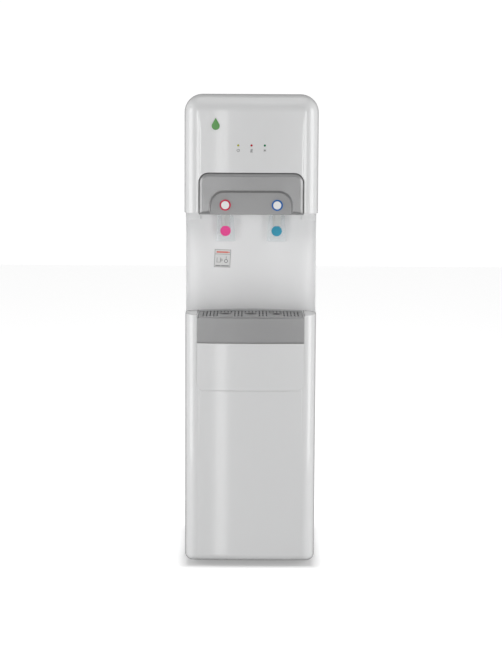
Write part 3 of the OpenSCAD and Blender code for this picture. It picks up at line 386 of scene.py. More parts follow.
@dataclass(frozen=True)
class Foamed(Finish):
    """Expanded beads pressed together."""

    def surface(self, graph: Graph) -> dict[str, Any]:
        """Bead outlines.

        Args:
            graph: The material's graph.

        Returns:
            The inputs of the shader that vary.
        """
        vector, _, _, _ = graph.place()
        beads = graph.out("ShaderNodeTexVoronoi", {"feature": "DISTANCE_TO_EDGE"},
                          {"Vector": vector, "Scale": 280.0}, "Distance")
        dark = tuple(c * 0.82 for c in self.colour)
        return {"Base Color": graph.blend(beads.span(0.0, 0.12), dark, self.colour),
                "Normal": graph.bump(beads.span(0.0, 0.3), 0.0003)}


@dataclass(frozen=True)
class Clear(Finish):
    """Clear moulded plastic with faint flow lines."""

    def surface(self, graph: Graph) -> dict[str, Any]:
        """Flow lines in the relief, and cloudier patches.

        Args:
            graph: The material's graph.

        Returns:
            The inputs of the shader that vary.
        """
        vector, _, _, _ = graph.place()
        flow = graph.noise(graph.stretched(vector, (1.0, 1.0, 0.3)), 0.006, 2.0)
        return {"Roughness": flow.span(0.3, 0.7, self.roughness, self.roughness * 2.0),
                "Normal": graph.bump(flow, 0.00004)}


@dataclass(frozen=True)
class Board(Finish):
    """Solder mask with copper tracks under it."""

    def surface(self, graph: Graph) -> dict[str, Any]:
        """Tracks as darker and lighter lanes.

        Args:
            graph: The material's graph.

        Returns:
            The inputs of the shader that vary.
        """
        vector, _, _, _ = graph.place()
        lanes = graph.out("ShaderNodeTexVoronoi", {"feature": "DISTANCE_TO_EDGE"},
                          {"Vector": vector, "Scale": 120.0, "Randomness": 0.6}, "Distance")
        light = tuple(min(1.0, c * 1.9 + 0.02) for c in self.colour)
        return {"Base Color": graph.blend(lanes.span(0.02, 0.06), light, self.colour),
                "Normal": graph.bump(lanes.span(0.02, 0.06, 1.0, 0.0), 0.00003)}


COAT = (("Coat Weight", 1.0), ("Coat Roughness", 0.08))
COVER_WHITE = Moulded("cover_white", (0.63, 0.633, 0.635), 0.3, fixed=COAT, drift=0.003)
# A brighter copy of the covers' white for the bay wall: painted light that offsets the shade in the recess.
BAY_WHITE_PAINTED_LIGHT = Moulded("bay_white_painted_light", (0.84, 0.842, 0.845), 0.36, drift=0.003)
HOUSING_WHITE = Moulded("housing_white", (0.62, 0.625, 0.63), 0.45, grain_depth=0.00001)
SILVER = MetallicPaint("trim_silver", (0.36, 0.36, 0.363), 0.42, metallic=0.6,
                       fixed=(("Coat Weight", 0.12), ("Coat Roughness", 0.15)))
# Black for the bead that stands in for the shade in the bezel's gap: painted shade.
GAP_SHADE_BLACK = Moulded("gap_shade_black", (0.015, 0.015, 0.016), 0.6)
TRAY_GREY = Moulded("tray_grey", (0.3, 0.305, 0.315), 0.42, grain_depth=0.00001)
CABINET = PowderCoat("cabinet_paint", (0.62, 0.63, 0.635), 0.38)
ZINC = BareMetal("zinc_sheet", (0.5, 0.51, 0.52), 0.38, 0.9, marks=Spangle.ZINC)
STAINLESS = BareMetal("stainless", (0.6, 0.6, 0.61), 0.28, 1.0, marks=Spangle.BRUSHED)
SPRING_STEEL = BareMetal("spring_steel", (0.5, 0.5, 0.51), 0.3, 1.0, marks=Spangle.DRAWN)
COPPER = BareMetal("copper", (0.75, 0.36, 0.2), 0.32, 1.0, marks=Spangle.DRAWN)
BLACK_PAINT = PowderCoat("black_paint", (0.022, 0.022, 0.024), 0.42)
RUBBER = Moulded("black_rubber", (0.02, 0.02, 0.02), 0.75, grain_depth=0.00003)
BLACK_PLASTIC = Moulded("black_plastic", (0.025, 0.025, 0.027), 0.5, grain_depth=0.00002)
NATURAL = Moulded("natural_plastic", (0.7, 0.7, 0.66), 0.4)
CAP_WHITE = Moulded("cap_white", (0.8, 0.8, 0.79), 0.25, fixed=COAT)
RING_RED = Moulded("ring_red", (0.6, 0.015, 0.07), 0.25, fixed=COAT)
RING_BLUE = Moulded("ring_blue", (0.008, 0.12, 0.42), 0.25, fixed=COAT)
DOT_PINK = Moulded("dot_pink", (0.82, 0.045, 0.28), 0.3, fixed=COAT)
DOT_TEAL = Moulded("dot_teal", (0.02, 0.3, 0.45), 0.3, fixed=COAT)
LAMP_YELLOW = Moulded("lamp_yellow", (0.35, 0.35, 0.01), 0.2, fixed=COAT)
LAMP_RED = Moulded("lamp_red", (0.4, 0.005, 0.015), 0.2, fixed=COAT)
LAMP_GREEN = Moulded("lamp_green", (0.005, 0.16, 0.06), 0.2, fixed=COAT)
BADGE = Moulded("badge_green", (0.1, 0.3, 0.08), 0.3, fixed=COAT)
PAPER = Moulded("label_paper", (0.78, 0.78, 0.77), 0.45, grain_depth=0.000002)
INK_GREY = Moulded("ink_grey", (0.09, 0.09, 0.095), 0.5)
INK_ORANGE = Moulded("ink_orange", (0.7, 0.12, 0.06), 0.45)
FOAM = Foamed("foam", (0.85, 0.85, 0.83), 0.8)
MICA = Moulded("mica", (0.42, 0.33, 0.14), 0.5, grain_depth=0.00002, drift=0.08)
BOARD = Board("board_green", (0.015, 0.1, 0.04), 0.35)
FILTER_WHITE = Moulded("filter_white", (0.74, 0.74, 0.73), 0.42)
HEAD_BLUE = Moulded("head_blue", (0.04, 0.12, 0.32), 0.4)
TUBE = Moulded("tube_white", (0.72, 0.75, 0.77), 0.35)
PLUG_BLUE = Moulded("plug_blue", (0.015, 0.07, 0.25), 0.4)
ROCKER_RED = Moulded("rocker_red", (0.42, 0.01, 0.012), 0.22, fixed=COAT)
ROCKER_GREEN = Moulded("rocker_green", (0.01, 0.24, 0.06), 0.22, fixed=COAT)
MILKY = Clear("natural_clear", (0.8, 0.81, 0.8), 0.3, fixed=(("Transmission Weight", 0.55), ("IOR", 1.25)))
CLEAR = Clear("clear_plastic", (0.93, 0.96, 0.97), 0.06,
              fixed=(("Transmission Weight", 0.9), ("IOR", 1.3), ("Alpha", 1.0)))


# ---- Mesh building ----


@dataclass
class Soup:
    """Vertices and faces that are gathered patch by patch."""

    vertices: list[Points] = field(default_factory=list)
    faces: list[tuple[int, ...]] = field(default_factory=list)
    count: int = 0

    def add_points(self, points: Points) -> int:
        """Adds points and returns the number of the first one.

        Args:
            points: Array whose last axis is x, y and z.

        Returns:
            Number of the first point that was added.
        """
        flat = np.asarray(points, float).reshape(-1, 3)
        start = self.count
        self.vertices.append(flat)
        self.count += len(flat)
        return start

    def add_grid(self, points: Points, flip: bool = False, wrap: bool = False) -> None:
        """Adds a grid of quads.

        Args:
            points: Array of rows by columns by three.
            flip: Turns the faces over.
            wrap: Joins the last row to the first.
        """
        rows, columns = points.shape[:2]
        start = self.add_points(points)
        for i in range(rows if wrap else rows - 1):
            for j in range(columns - 1):
                a = start + i * columns + j
                b = start + ((i + 1) % rows) * columns + j
                quad = (a, b, b + 1, a + 1)
                self.faces.append(quad[::-1] if flip else quad)

    def add_closed(self, front: Points, back: Points, flip: bool = False) -> None:
        """Adds two matching grids with walls round their rim, as one closed skin.

        Args:
            front: First grid, rows by columns by three.
            back: Second grid, of the same shape.
            flip: Turns the faces over.
        """
        rows, columns = front.shape[:2]
        self.add_grid(front, flip)
        self.add_grid(back, not flip)
        a = self.count - 2 * rows * columns
        b = self.count - rows * columns
        rim = [j for j in range(columns)]
        rim += [i * columns + columns - 1 for i in range(1, rows)]
        rim += [(rows - 1) * columns + j for j in range(columns - 2, -1, -1)]
        rim += [i * columns for i in range(rows - 2, 0, -1)]
        for k, here in enumerate(rim):
            there = rim[(k + 1) % len(rim)]
            quad = (a + here, a + there, b + there, b + here)
            self.faces.append(quad[::-1] if flip else quad)

    def mesh(self, name: str, weld: float = 0.000002) -> bpy.types.Mesh:
        """The gathered faces as a mesh whose doubles are merged.

        Args:
            name: Name of the mesh.
            weld: Distance within which doubles are merged.

        Returns:
            The mesh, with its normals outwards.
        """
        made = bpy.data.meshes.new(name)
        made.from_pydata(np.concatenate(self.vertices).tolist(), [], self.faces)
        work = bmesh.new()
        work.from_mesh(made)
        bmesh.ops.remove_doubles(work, verts=work.verts, dist=weld)
        bmesh.ops.dissolve_degenerate(work, edges=work.edges, dist=weld / 10)
        bmesh.ops.recalc_face_normals(work, faces=work.faces)
        work.to_mesh(made)
        work.free()
        return made


def slab(name: str, front: Sequence[Any], back: Sequence[Any], weld: float = 0.000002) -> bpy.types.Mesh:
    """A closed skin between two matching grids.

    Args:
        name: Name of the mesh.
        front: X, y and z of the first grid's points.
        back: X, y and z of the second grid's points.
        weld: Distance within which doubles are merged.

    Returns:
        The mesh.
    """
    made = Soup()
    made.add_closed(*(np.stack(np.broadcast_arrays(*side), -1) for side in (front, back)))
    return made.mesh(name, weld)


@dataclass
class Modifier:
    """A modifier's type and its settings."""

    kind: str
    settings: dict[str, Any]

    def put_on(self, piece: bpy.types.Object) -> None:
        """Adds the modifier to a piece.

        Args:
            piece: The object that gets it.
        """
        made = piece.modifiers.new(self.kind.lower(), self.kind)
        for name, value in self.settings.items():
            setattr(made, name, value)


def shell(thickness: float) -> Modifier:
    """A wall that grows inwards from a skin."""
    return Modifier("SOLIDIFY", {"thickness": thickness, "offset": -1.0, "use_even_offset": False})


def edge_round(width: float, segments: int = 2, angle: float = 40.0) -> Modifier:
    """Rounded edges wherever faces meet at more than an angle."""
    return Modifier("BEVEL", {"width": width, "segments": segments, "limit_method": "ANGLE",
                              "angle_limit": math.radians(angle), "use_clamp_overlap": True,
                              "harden_normals": False})


def mark_sharp(mesh: bpy.types.Mesh, angle: float = 35.0) -> None:
    """Shades a mesh smooth, apart from edges sharper than an angle in degrees.

    Args:
        mesh: The mesh.
        angle: The limit in degrees.
    """
    work = bmesh.new()
    work.from_mesh(mesh)
    limit = math.radians(angle)
    for face in work.faces:
        face.smooth = True
    for edge in work.edges:
        edge.smooth = len(edge.link_faces) == 2 and edge.calc_face_angle(0.0) < limit
    work.to_mesh(mesh)
    work.free()


def finished(name: str, mesh: bpy.types.Mesh, finish: Finish,
             modifiers: Iterable[Modifier] = (), angle: float = 35.0) -> bpy.types.Object:
    """Makes a piece of a mesh, with its modifiers applied and its finish on.

    Args:
        name: Name of the piece.
        mesh: Its mesh, in the row's frame.
        finish: What it is made of.
        modifiers: Modifiers to apply, in order.
        angle: Edges sharper than this many degrees stay sharp.

    Returns:
        The finished object.
    """
    piece = bpy.data.objects.new(name, mesh)
    bpy.context.scene.collection.objects.link(piece)
    modifiers = list(modifiers)
    for modifier in modifiers:
        modifier.put_on(piece)
    if modifiers:
        graph = bpy.context.evaluated_depsgraph_get()
        plain = bpy.data.meshes.new_from_object(piece.evaluated_get(graph))
        piece.modifiers.clear()
        piece.data = plain
    piece.data.materials.clear()
    piece.data.materials.append(finish.material())
    mark_sharp(piece.data, angle)
    return piece


def place(piece: bpy.types.Object, body: str, slot: str, *nodes: str) -> bpy.types.Object:
    """Rides a piece on a body and hides the nodes that it stands for.

    Args:
        piece: The piece.
        body: Body that it rides on.
        slot: Not used.
        nodes: Nodes that it replaces.

    Returns:
        The piece.
    """
    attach(piece, body)
    if nodes:
        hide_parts(*nodes)
    LOG.info("%s: %d faces, on %s", piece.name, len(piece.data.polygons), body)
    return piece


def spaced(start: float, end: float, step: float) -> Points:
    """Evenly spaced values from start to end, about step apart."""
    return np.linspace(start, end, max(2, int(round(abs(end - start) / step)) + 1))


def smooth_step(values: Any, low: float, high: float) -> Any:
    """0 below low, 1 above high and a smooth rise between them."""
    t = np.clip((np.asarray(values, float) - low) / (high - low), 0.0, 1.0)
    return t * t * (3.0 - 2.0 * t)


def bead(name: str, path: Points, radii: tuple[float, float], finish: Finish, body: str, slot: str) -> None:
    """Makes and places a closed bar with an oval section, carried along a path in a front plane.

    Args:
        name: Name of the piece.
        path: Points of the path.
        radii: The oval's radii across the path in the plane, and along Y.
        finish: What it is made of.
        body: Body that it rides on.
        slot: Its slot.
    """
    ahead = np.gradient(path, axis=0)
    ahead /= np.linalg.norm(ahead, axis=1)[:, None]
    across = np.cross(ahead, np.array([0.0, 1.0, 0.0]))
    turn = np.linspace(0, 2 * math.pi, 9)[:-1, None]
    y_axis = np.array([0.0, 1.0, 0.0])
    grid = np.array([p + radii[0] * np.cos(turn) * a + radii[1] * np.sin(turn) * y_axis
                     for p, a in zip(path, across)])
    made = Soup()
    rows, columns = grid.shape[:2]
    start = made.add_points(grid)
    for i in range(rows - 1):
        for j in range(columns):
            a, b = start + i * columns + j, start + i * columns + (j + 1) % columns
            made.faces.append((a, a + columns, b + columns, b))
    made.faces.append(tuple(start + j for j in range(columns)))
    made.faces.append(tuple(start + (rows - 1) * columns + j for j in reversed(range(columns))))
    place(finished(name, made.mesh(name), finish), body, slot)


# ---- The dispenser's own shapes ----


@dataclass
class Layout:
    """Sizes shared by the front covers, read from the frame."""

    front: float = 0.0
    half_head: float = 0.0
    half_low: float = 0.0
    face_half: float = 0.0
    head_low: float = 0.0
    head_top: float = 0.0
    low_top: float = 0.0
    low_bottom: float = 0.0
    side_y: float = 0.0
    proud: float = 2 * MM
    crown: float = 4 * MM
    step: float = 2 * MM
    column_depth: float = 40 * MM
    wall: float = 3 * MM
    bay_half: float = 148 * MM
    bay_rim: float = 60 * MM
    bay_reach: float = 59 * MM
    bezel_corner: float = 21.5 * MM

    @classmethod
    def from_frame(cls) -> "Layout":
        """Reads the covers' boxes.

        Returns:
            The layout.
        """
        head_low, head_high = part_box("head_cover")
        low_low, low_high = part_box("lower_front_panel")
        _, bezel_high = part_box("tap_bezel")
        fascia_low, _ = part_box("tray_fascia")
        return cls(front=fascia_low.y, half_head=head_high.x, half_low=low_high.x,
                   face_half=bezel_high.x - 2 * MM, head_low=head_low.z, head_top=head_high.z,
                   low_top=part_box("left_column")[1].z, low_bottom=low_low.z, side_y=head_high.y)

    def crowned(self, x: Any) -> Any:
        """How far the crowned face falls back at x."""
        return self.crown * (np.asarray(x) / self.face_half) ** 2

    def face_y(self, x: Any) -> Any:
        """Y of the crowned face of the covers at x."""
        return self.front + self.proud + self.crowned(x)

    def bay_y(self, x: Any) -> Any:
        """Y of the bay's curved wall at x.

        Args:
            x: One place or an array of them.

        Returns:
            Y at each place.
        """
        across = np.clip(1.0 - (np.asarray(x) / self.bay_half) ** 2, 0.0, 1.0)
        return self.front + self.bay_rim + self.bay_reach * np.sqrt(across)

    @property
    def column_back_y(self) -> float:
        """Y at which the columns have turned to the side."""
        return self.front + self.proud + self.crown + self.step + self.column_depth


@dataclass
class CoverSkin:
    """A front cover's outer skin: a crowned face inside a rolled rim."""

    layout: Layout
    half: float
    low: float
    high: float
    roll: float
    corner: float
    rolled_top: bool
    step_at: Callable[[float], float]
    spacing: float = 3 * MM
    roll_steps: int = 14

    def rim_path(self) -> list[tuple[tuple[float, float], tuple[float, float]]]:
        """Pairs of an inner point on the face's edge and an outer point on the silhouette.

        Returns:
            The pairs, from one foot of the rim round to the other, each point as x and z.
        """
        edge = self.layout.face_half
        turn = self.high - self.roll if self.rolled_top else self.low + self.roll
        tip = self.high if self.rolled_top else self.low
        pairs = []
        for z in self.face_rows()[::1 if self.rolled_top else -1]:
            pairs.append(((-edge, z), (-self.half, z)))
        centre_x = self.half - self.corner
        sign = 1.0 if self.rolled_top else -1.0
        for angle in np.linspace(180, 90, 13)[1:]:
            x = -centre_x + self.corner * math.cos(math.radians(angle))
            z = tip - sign * self.corner + sign * self.corner * math.sin(math.radians(angle))
            pairs.append(((-edge, turn), (x, z)))
        scale = centre_x / edge
        for x in self.face_columns()[1:]:
            pairs.append(((x, turn), (x * scale, tip)))
        for angle in np.linspace(90, 0, 13)[1:]:
            x = centre_x + self.corner * math.cos(math.radians(angle))
            z = tip - sign * self.corner + sign * self.corner * math.sin(math.radians(angle))
            pairs.append(((edge, turn), (x, z)))
        for z in self.face_rows()[::-1 if self.rolled_top else 1][1:]:
            pairs.append(((edge, z), (self.half, z)))
        return pairs

    def face_rows(self) -> Points:
        """Heights of the face's grid.

        Returns:
            The heights in rising order.
        """
        low = self.low if self.rolled_top else self.low + self.roll
        high = self.high - self.roll if self.rolled_top else self.high
        return spaced(low, high, self.spacing)

    def face_columns(self) -> Points:
        """X places of the face's grid."""
        return spaced(-self.layout.face_half, self.layout.face_half, self.spacing)

    def soup(self) -> Soup:
        """The skin's patches.

        Returns:
            The face and the rim, not yet welded.
        """
        made = Soup()
        columns, rows = self.face_columns(), self.face_rows()
        x, z = np.meshgrid(columns, rows, indexing="ij")
        made.add_grid(np.stack([x, self.layout.face_y(x), z], axis=-1))
        grid = []
        for (ix, iz), (ox, oz) in self.rim_path():
            grid.append(self.rim_section(ix, iz, ox, oz))
        made.add_grid(np.array(grid))
        return made

    def rim_section(self, ix: float, iz: float, ox: float, oz: float) -> list[tuple[float, float, float]]:
        """One line of the rim, from the face's edge over the crease and round to the side.

        Args:
            ix: X on the face's edge.
            iz: Z on the face's edge.
            ox: X on the silhouette.
            oz: Z on the silhouette.

        Returns:
            Points of the line.
        """
        face_y = float(self.layout.face_y(ix))
        back_y = self.layout.column_back_y
        sideways = abs(ox - ix) / max(1e-9, math.hypot(ox - ix, oz - iz))
        step = self.step_at(iz) * smooth_step(sideways, 0.5, 1.0)
        crease = 1.6 * MM / max(1e-9, math.hypot(ox - ix, oz - iz))
        line = []
        for share, fall in ((0.0, 0.0), (0.25, 0.06), (0.5, 0.5), (0.75, 0.94), (1.0, 1.0)):
            t = crease * share
            line.append((ix + (ox - ix) * t, face_y + float(step) * fall, iz + (oz - iz) * t))
        start_y = face_y + float(step)
        for k in range(1, self.roll_steps + 1):
            angle = 0.5 * math.pi * k / self.roll_steps
            t = crease + (1.0 - crease) * math.sin(angle)
            y = start_y + (back_y - start_y) * (1.0 - math.cos(angle))
            line.append((ix + (ox - ix) * t, y, iz + (oz - iz) * t))
        for y in np.linspace(back_y, self.layout.side_y, 5)[1:]:
            line.append((ox, float(y), oz))
        return line


def rounded_outline(half: float, low: float, high: float, low_r: float, high_r: float,
                    steps: int = 10) -> list[tuple[float, float]]:
    """Points round a rectangle with rounded bottom and top corners, seen from the front.

    Args:
        half: Half of the width.
        low: Lower edge.
        high: Upper edge.
        low_r: Lower corners' radius.
        high_r: Upper corners' radius.
        steps: Steps of each corner.

    Returns:
        The points as x and z.
    """
    points: list[tuple[float, float]] = []
    corners = ((half, low, low_r, 270), (half, high, high_r, 0),
               (-half, high, high_r, 90), (-half, low, low_r, 180))
    for x, z, r, start in corners:
        cx = x - math.copysign(r, x)
        cz = z + r if z == low else z - r
        if r <= 0:
            points.append((x, z))
            continue
        points += [(cx + r * math.cos(math.radians(a)), cz + r * math.sin(math.radians(a)))
                   for a in np.linspace(start, start + 90, steps + 1)]
    return points


def prism(outline: Sequence[tuple[float, float]], y0: float, y1: float) -> bpy.types.Mesh:
    """A prism along Y with an outline given in X and Z.

    Args:
        outline: Points of the outline.
        y0: Front end.
        y1: Rear end.

    Returns:
        The prism's mesh.
    """
    made = Soup()
    count = len(outline)
    start = made.add_points(np.array([(x, y0, z) for x, z in outline] + [(x, y1, z) for x, z in outline]))
    made.faces.append(tuple(start + i for i in range(count)))
    made.faces.append(tuple(start + count + i for i in reversed(range(count))))
    for i in range(count):
        j = (i + 1) % count
        made.faces.append((start + j, start + i, start + count + i, start + count + j))
    return made.mesh("cutter")


def cut(mesh: bpy.types.Mesh, cutter: bpy.types.Mesh, wall: Modifier) -> bpy.types.Mesh:
    """Gives a skin its wall and cuts a prism out of it.

    Args:
        mesh: The skin.
        cutter: What is cut out.
        wall: The modifier that makes the wall.

    Returns:
        The cut shell.
    """
    body = bpy.data.objects.new("body_blank", mesh)
    tool = bpy.data.objects.new("cutter_blank", cutter)
    for blank in (body, tool):
        bpy.context.scene.collection.objects.link(blank)
    wall.put_on(body)
    boolean = body.modifiers.new("cut", "BOOLEAN")
    boolean.operation = "DIFFERENCE"
    boolean.solver = "MANIFOLD"
    boolean.object = tool
    graph = bpy.context.evaluated_depsgraph_get()
    result = bpy.data.meshes.new_from_object(body.evaluated_get(graph))
    for blank in (body, tool):
        bpy.data.objects.remove(blank)
    return result


@dataclass
class Covers:
    """The head cover, the lower panel and the rear top cover."""

    layout: Layout
    corner: float = 41 * MM
    toe: float = 24 * MM
    toe_corner: float = 16 * MM
    opening_corner: float = 16.8 * MM

    def cutter(self, outline: Sequence[tuple[float, float]]) -> bpy.types.Mesh:
        """A prism with an outline, long enough to go through the front of a cover."""
        return prism(outline, self.layout.front - 0.01, self.layout.front + 0.04)

    def head(self) -> None:
        """The head cover, open where the tap bezel sits."""
        lay = self.layout
        skin = CoverSkin(lay, lay.half_head, lay.head_low, lay.head_top, self.corner, self.corner, True,
                         lambda z: lay.step * (1.0 - smooth_step(z, lay.head_top - 2.2 * self.corner,
                                                                 lay.head_top - self.corner)))
        _, bezel_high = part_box("tap_bezel")
        gap = 0.5 * MM
        hole = rounded_outline(bezel_high.x + gap, lay.head_low - 0.02, bezel_high.z + gap, 0.0,
                               lay.bezel_corner + gap)
        mesh = cut(skin.soup().mesh("head_cover_shell"), self.cutter(hole), shell(lay.wall))
        piece = finished("head_cover_shell", mesh, COVER_WHITE, [edge_round(0.5 * MM)])
        place(piece, "cabinet", "cover_white", "head_cover")

    def lower(self) -> None:
        """The lower panel, open round the tray's fascia and the apron."""
        lay = self.layout
        fascia_low, fascia_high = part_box("tray_fascia")
        apron_low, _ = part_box("apron_panel")
        fade_low = lay.low_bottom + 0.22
        skin = CoverSkin(lay, lay.half_low, lay.low_bottom, lay.low_top, self.toe, self.toe_corner, False,
                         lambda z: lay.step * smooth_step(z, fade_low, apron_low.z + 0.02))
        gap = 0.8 * MM
        hole = rounded_outline(fascia_high.x + gap, apron_low.z - gap, lay.low_top + 0.05,
                               self.opening_corner, 0.0)
        mesh = cut(skin.soup().mesh("lower_panel_shell"), self.cutter(hole), shell(lay.wall))
        piece = finished("lower_panel_shell", mesh, COVER_WHITE, [edge_round(0.5 * MM)])
        place(piece, "lower_panel", "cover_white", "lower_front_panel", "left_column", "right_column")
        inner = fascia_high.x + gap
        for side in (-1, 1):
            self.ledge(side, inner)
        self.rim(inner, apron_low.z - gap)

    def ledge(self, side: int, inner: float) -> None:
        """The flat top of one column, back to the wall of the bay.

        Args:
            side: -1 for the left column and 1 for the right one.
            inner: X at which the ledge starts.
        """
        lay = self.layout
        x = np.linspace(inner, lay.half_low - 2.5 * MM, 12)
        fall = np.clip((x - lay.face_half) / (lay.half_low - lay.face_half), 0.0, 0.999)
        start = lay.column_back_y - lay.column_depth * np.sqrt(1.0 - fall ** 2) + lay.wall * 0.6
        end = lay.bay_y(x) - 1 * MM
        rows = np.linspace(0.0, 1.0, 8)
        y = start[:, None] + (end - start)[:, None] * rows[None, :]
        name = "ledge_right" if side > 0 else "ledge_left"
        across = side * x[:, None]
        mesh = slab(name, (across, y, lay.low_top - 0.05 * MM), (across, y, lay.low_top - 3 * MM))
        place(finished(name, mesh, COVER_WHITE), "lower_panel", "cover_white")

    def rim(self, half: float, low_z: float) -> None:
        """The raised bead round the panel's opening.

        Args:
            half: Half of the opening's width.
            low_z: Its lower edge.
        """
        lay = self.layout
        r = self.opening_corner
        turn = [(half - r + r * math.cos(a), low_z + r - r * math.sin(a))
                for a in np.linspace(0, math.pi / 2, 10)]
        points = [(half, z) for z in np.linspace(lay.low_top - 2 * MM, low_z + r, 60)[:-1]] + turn
        points += [(x, low_z) for x in np.linspace(half - r, -half + r, 60)[1:-1]]
        points += [(-x, z) for x, z in turn[::-1]]
        points += [(-half, z) for z in np.linspace(low_z + r, lay.low_top - 2 * MM, 60)[1:]]
        path = np.array([(x, 0.0, z) for x, z in points])
        past = np.clip(np.abs(path[:, 0]) - lay.face_half, 0.0, None) / (lay.half_low - lay.face_half)
        column = lay.step + lay.column_depth * (1.0 - np.sqrt(1.0 - past ** 2))
        path[:, 1] = lay.face_y(np.minimum(np.abs(path[:, 0]), lay.face_half))
        path[:, 1] += np.where(past > 0, column, 0.0)
        bead("panel_rim", path, (0.8 * MM, 0.9 * MM), COVER_WHITE, "lower_panel", "cover_white")


def outline_gap(x: Any, z: Any, half: float, top: float, r: float) -> Any:
    """Distance to an outline with rounded top corners that is open below: negative inside.

    Args:
        x: X of the points.
        z: Z of the points.
        half: Half of the width.
        top: Upper edge.
        r: Corners' radius.

    Returns:
        The distance at each point.
    """
    across = np.abs(x) - (half - r)
    above = np.asarray(z) - (top - r)
    outside = np.hypot(np.maximum(across, 0.0), np.maximum(above, 0.0))
    return outside + np.minimum(np.maximum(across, above), 0.0) - r


def curtain(half: float, low: Callable[[Points], Points], high: Callable[[Points], Points],
            step: float, fine: float = 0.0) -> tuple[Points, Points]:
    """A grid that hangs between two outlines.

    Args:
        half: Half of the width.
        low: Lower outline's height at x.
        high: Upper outline's height at x.
        step: Spacing of the grid.
        fine: Width at each side with points crowded in it.

    Returns:
        X and Z of the grid's points, columns first.
    """
    x = spaced(-half, half, step)
    if fine:
        crowd = half - fine * (1.0 - np.cos(np.linspace(0, math.pi / 2, 14)))
        x = np.unique(np.concatenate([x[np.abs(x) < crowd[-1]], crowd, -crowd]))
    rows = spaced(float(np.min(low(x))), float(np.max(high(x))), step)
    t = (rows - rows[0]) / (rows[-1] - rows[0])
    if fine:
        t = np.unique(np.concatenate([t, [0.002, 0.005, 0.009, 0.991, 0.995, 0.998]]))
    z = low(x)[:, None] + (high(x) - low(x))[:, None] * t[None, :]
    return np.repeat(x[:, None], len(t), axis=1), z


def arched(half: float, straight: float, r: float, sign: float) -> Callable[[Points], Points]:
    """An outline's height: straight in the middle and falling away round its corners.

    Args:
        half: Half of the width.
        straight: Height of the straight part.
        r: Corners' radius.
        sign: 1 for an upper outline and -1 for a lower one.

    Returns:
        A function from x to the height.
    """
    def height(x: Points) -> Points:
        """The outline's height at x."""
        reach = np.clip(np.abs(x) - (half - r), 0.0, r)
        return straight - sign * (r - np.sqrt(np.maximum(r * r - reach * reach, 0.0)))
    return height


@dataclass
class TapBezel:
    """The silver bezel with its bevelled rim, drafted pocket and rolled lower edge."""

    layout: Layout
    bevel_width: float = 8.0 * MM
    bevel_depth: float = 5 * MM
    roll: tuple[float, float] = (20 * MM, 17 * MM)
    pocket: tuple[float, float, float, float] = (91 * MM, 0.862, 30 * MM, 13 * MM)
    draft: tuple[float, float] = (3.2 * MM, 2.2 * MM)

    def depth(self, x: Points, z: Points, low: float, half: float, top: float) -> Points:
        """How far the front lies behind the foremost plane.

        Args:
            x: X of the points.
            z: Z of the points.
            low: The bezel's lower edge.
            half: Half of its width.
            top: Its upper edge.

        Returns:
            The depth at each point.
        """
        lay = self.layout
        rim = -outline_gap(x, z, half, top, self.layout.bezel_corner)
        bevel = self.bevel_depth * (1.0 - np.clip(rim / self.bevel_width, 0.0, 1.0))
        pocket_half, pocket_top, pocket_r, floor = self.pocket
        inside = -outline_gap(x, z, pocket_half, pocket_top, pocket_r)
        share = smooth_step(inside, -self.draft[0], self.draft[1])
        face = lay.crowned(x) * (1.0 - share) + floor * share + bevel
        reach, height = self.roll
        t = np.clip((low + height - z) / height, 0.0, 1.0)
        return np.maximum(face, reach * (1.0 - np.sqrt(1.0 - t * t)))

    def build(self) -> None:
        """Makes the bezel as one closed moulding, solid behind the buttons."""
        low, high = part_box("tap_bezel")
        half = high.x
        top = arched(half, high.z, self.layout.bezel_corner, 1.0)
        x, z = curtain(half, lambda v: np.full_like(v, low.z), top, 1.3 * MM, 4 * MM)
        front = self.layout.front + self.depth(x, z, low.z, half, high.z)
        mesh = slab("tap_bezel_moulding", (x, front, z), (x, np.maximum(high.y, front + 0.2 * MM), z))
        piece = finished("tap_bezel_moulding", mesh, SILVER, [edge_round(0.4 * MM, 2, 50)], 28)
        place(piece, "cabinet", "trim_silver", "tap_bezel")
        # A black bead paints the shade in the gap round the bezel.
        self.gap_shade(half, high.z, low.z)

    def gap_shade(self, half: float, top: float, low: float) -> None:
        """A black bead that paints the shade in the gap that follows the bezel's outline.

        Args:
            half: Half of the bezel's width.
            top: Its upper edge.
            low: Its lower edge.
        """
        r = self.layout.bezel_corner
        turn = [math.radians(a) for a in np.linspace(180, 90, 12)]
        left = [(-half + r + r * math.cos(a), top - r + r * math.sin(a)) for a in turn]
        rise = np.linspace(low + 4 * MM, top - r - 1 * MM, 24)
        points = [(-half, z) for z in rise] + left
        points += [(x, top) for x in np.linspace(-half + r, half - r, 60)[1:-1]]
        points += [(-x, z) for x, z in left[::-1]] + [(half, z) for z in rise[::-1]]
        lay = self.layout
        path = np.array([(x, lay.front + lay.crowned(x) + 3.4 * MM, z) for x, z in points])
        # Painted shade: a black bead set into the gap.
        bead("bezel_gap_shade", path, (0.5 * MM, 0.5 * MM), GAP_SHADE_BLACK, "cabinet", "black_plastic")


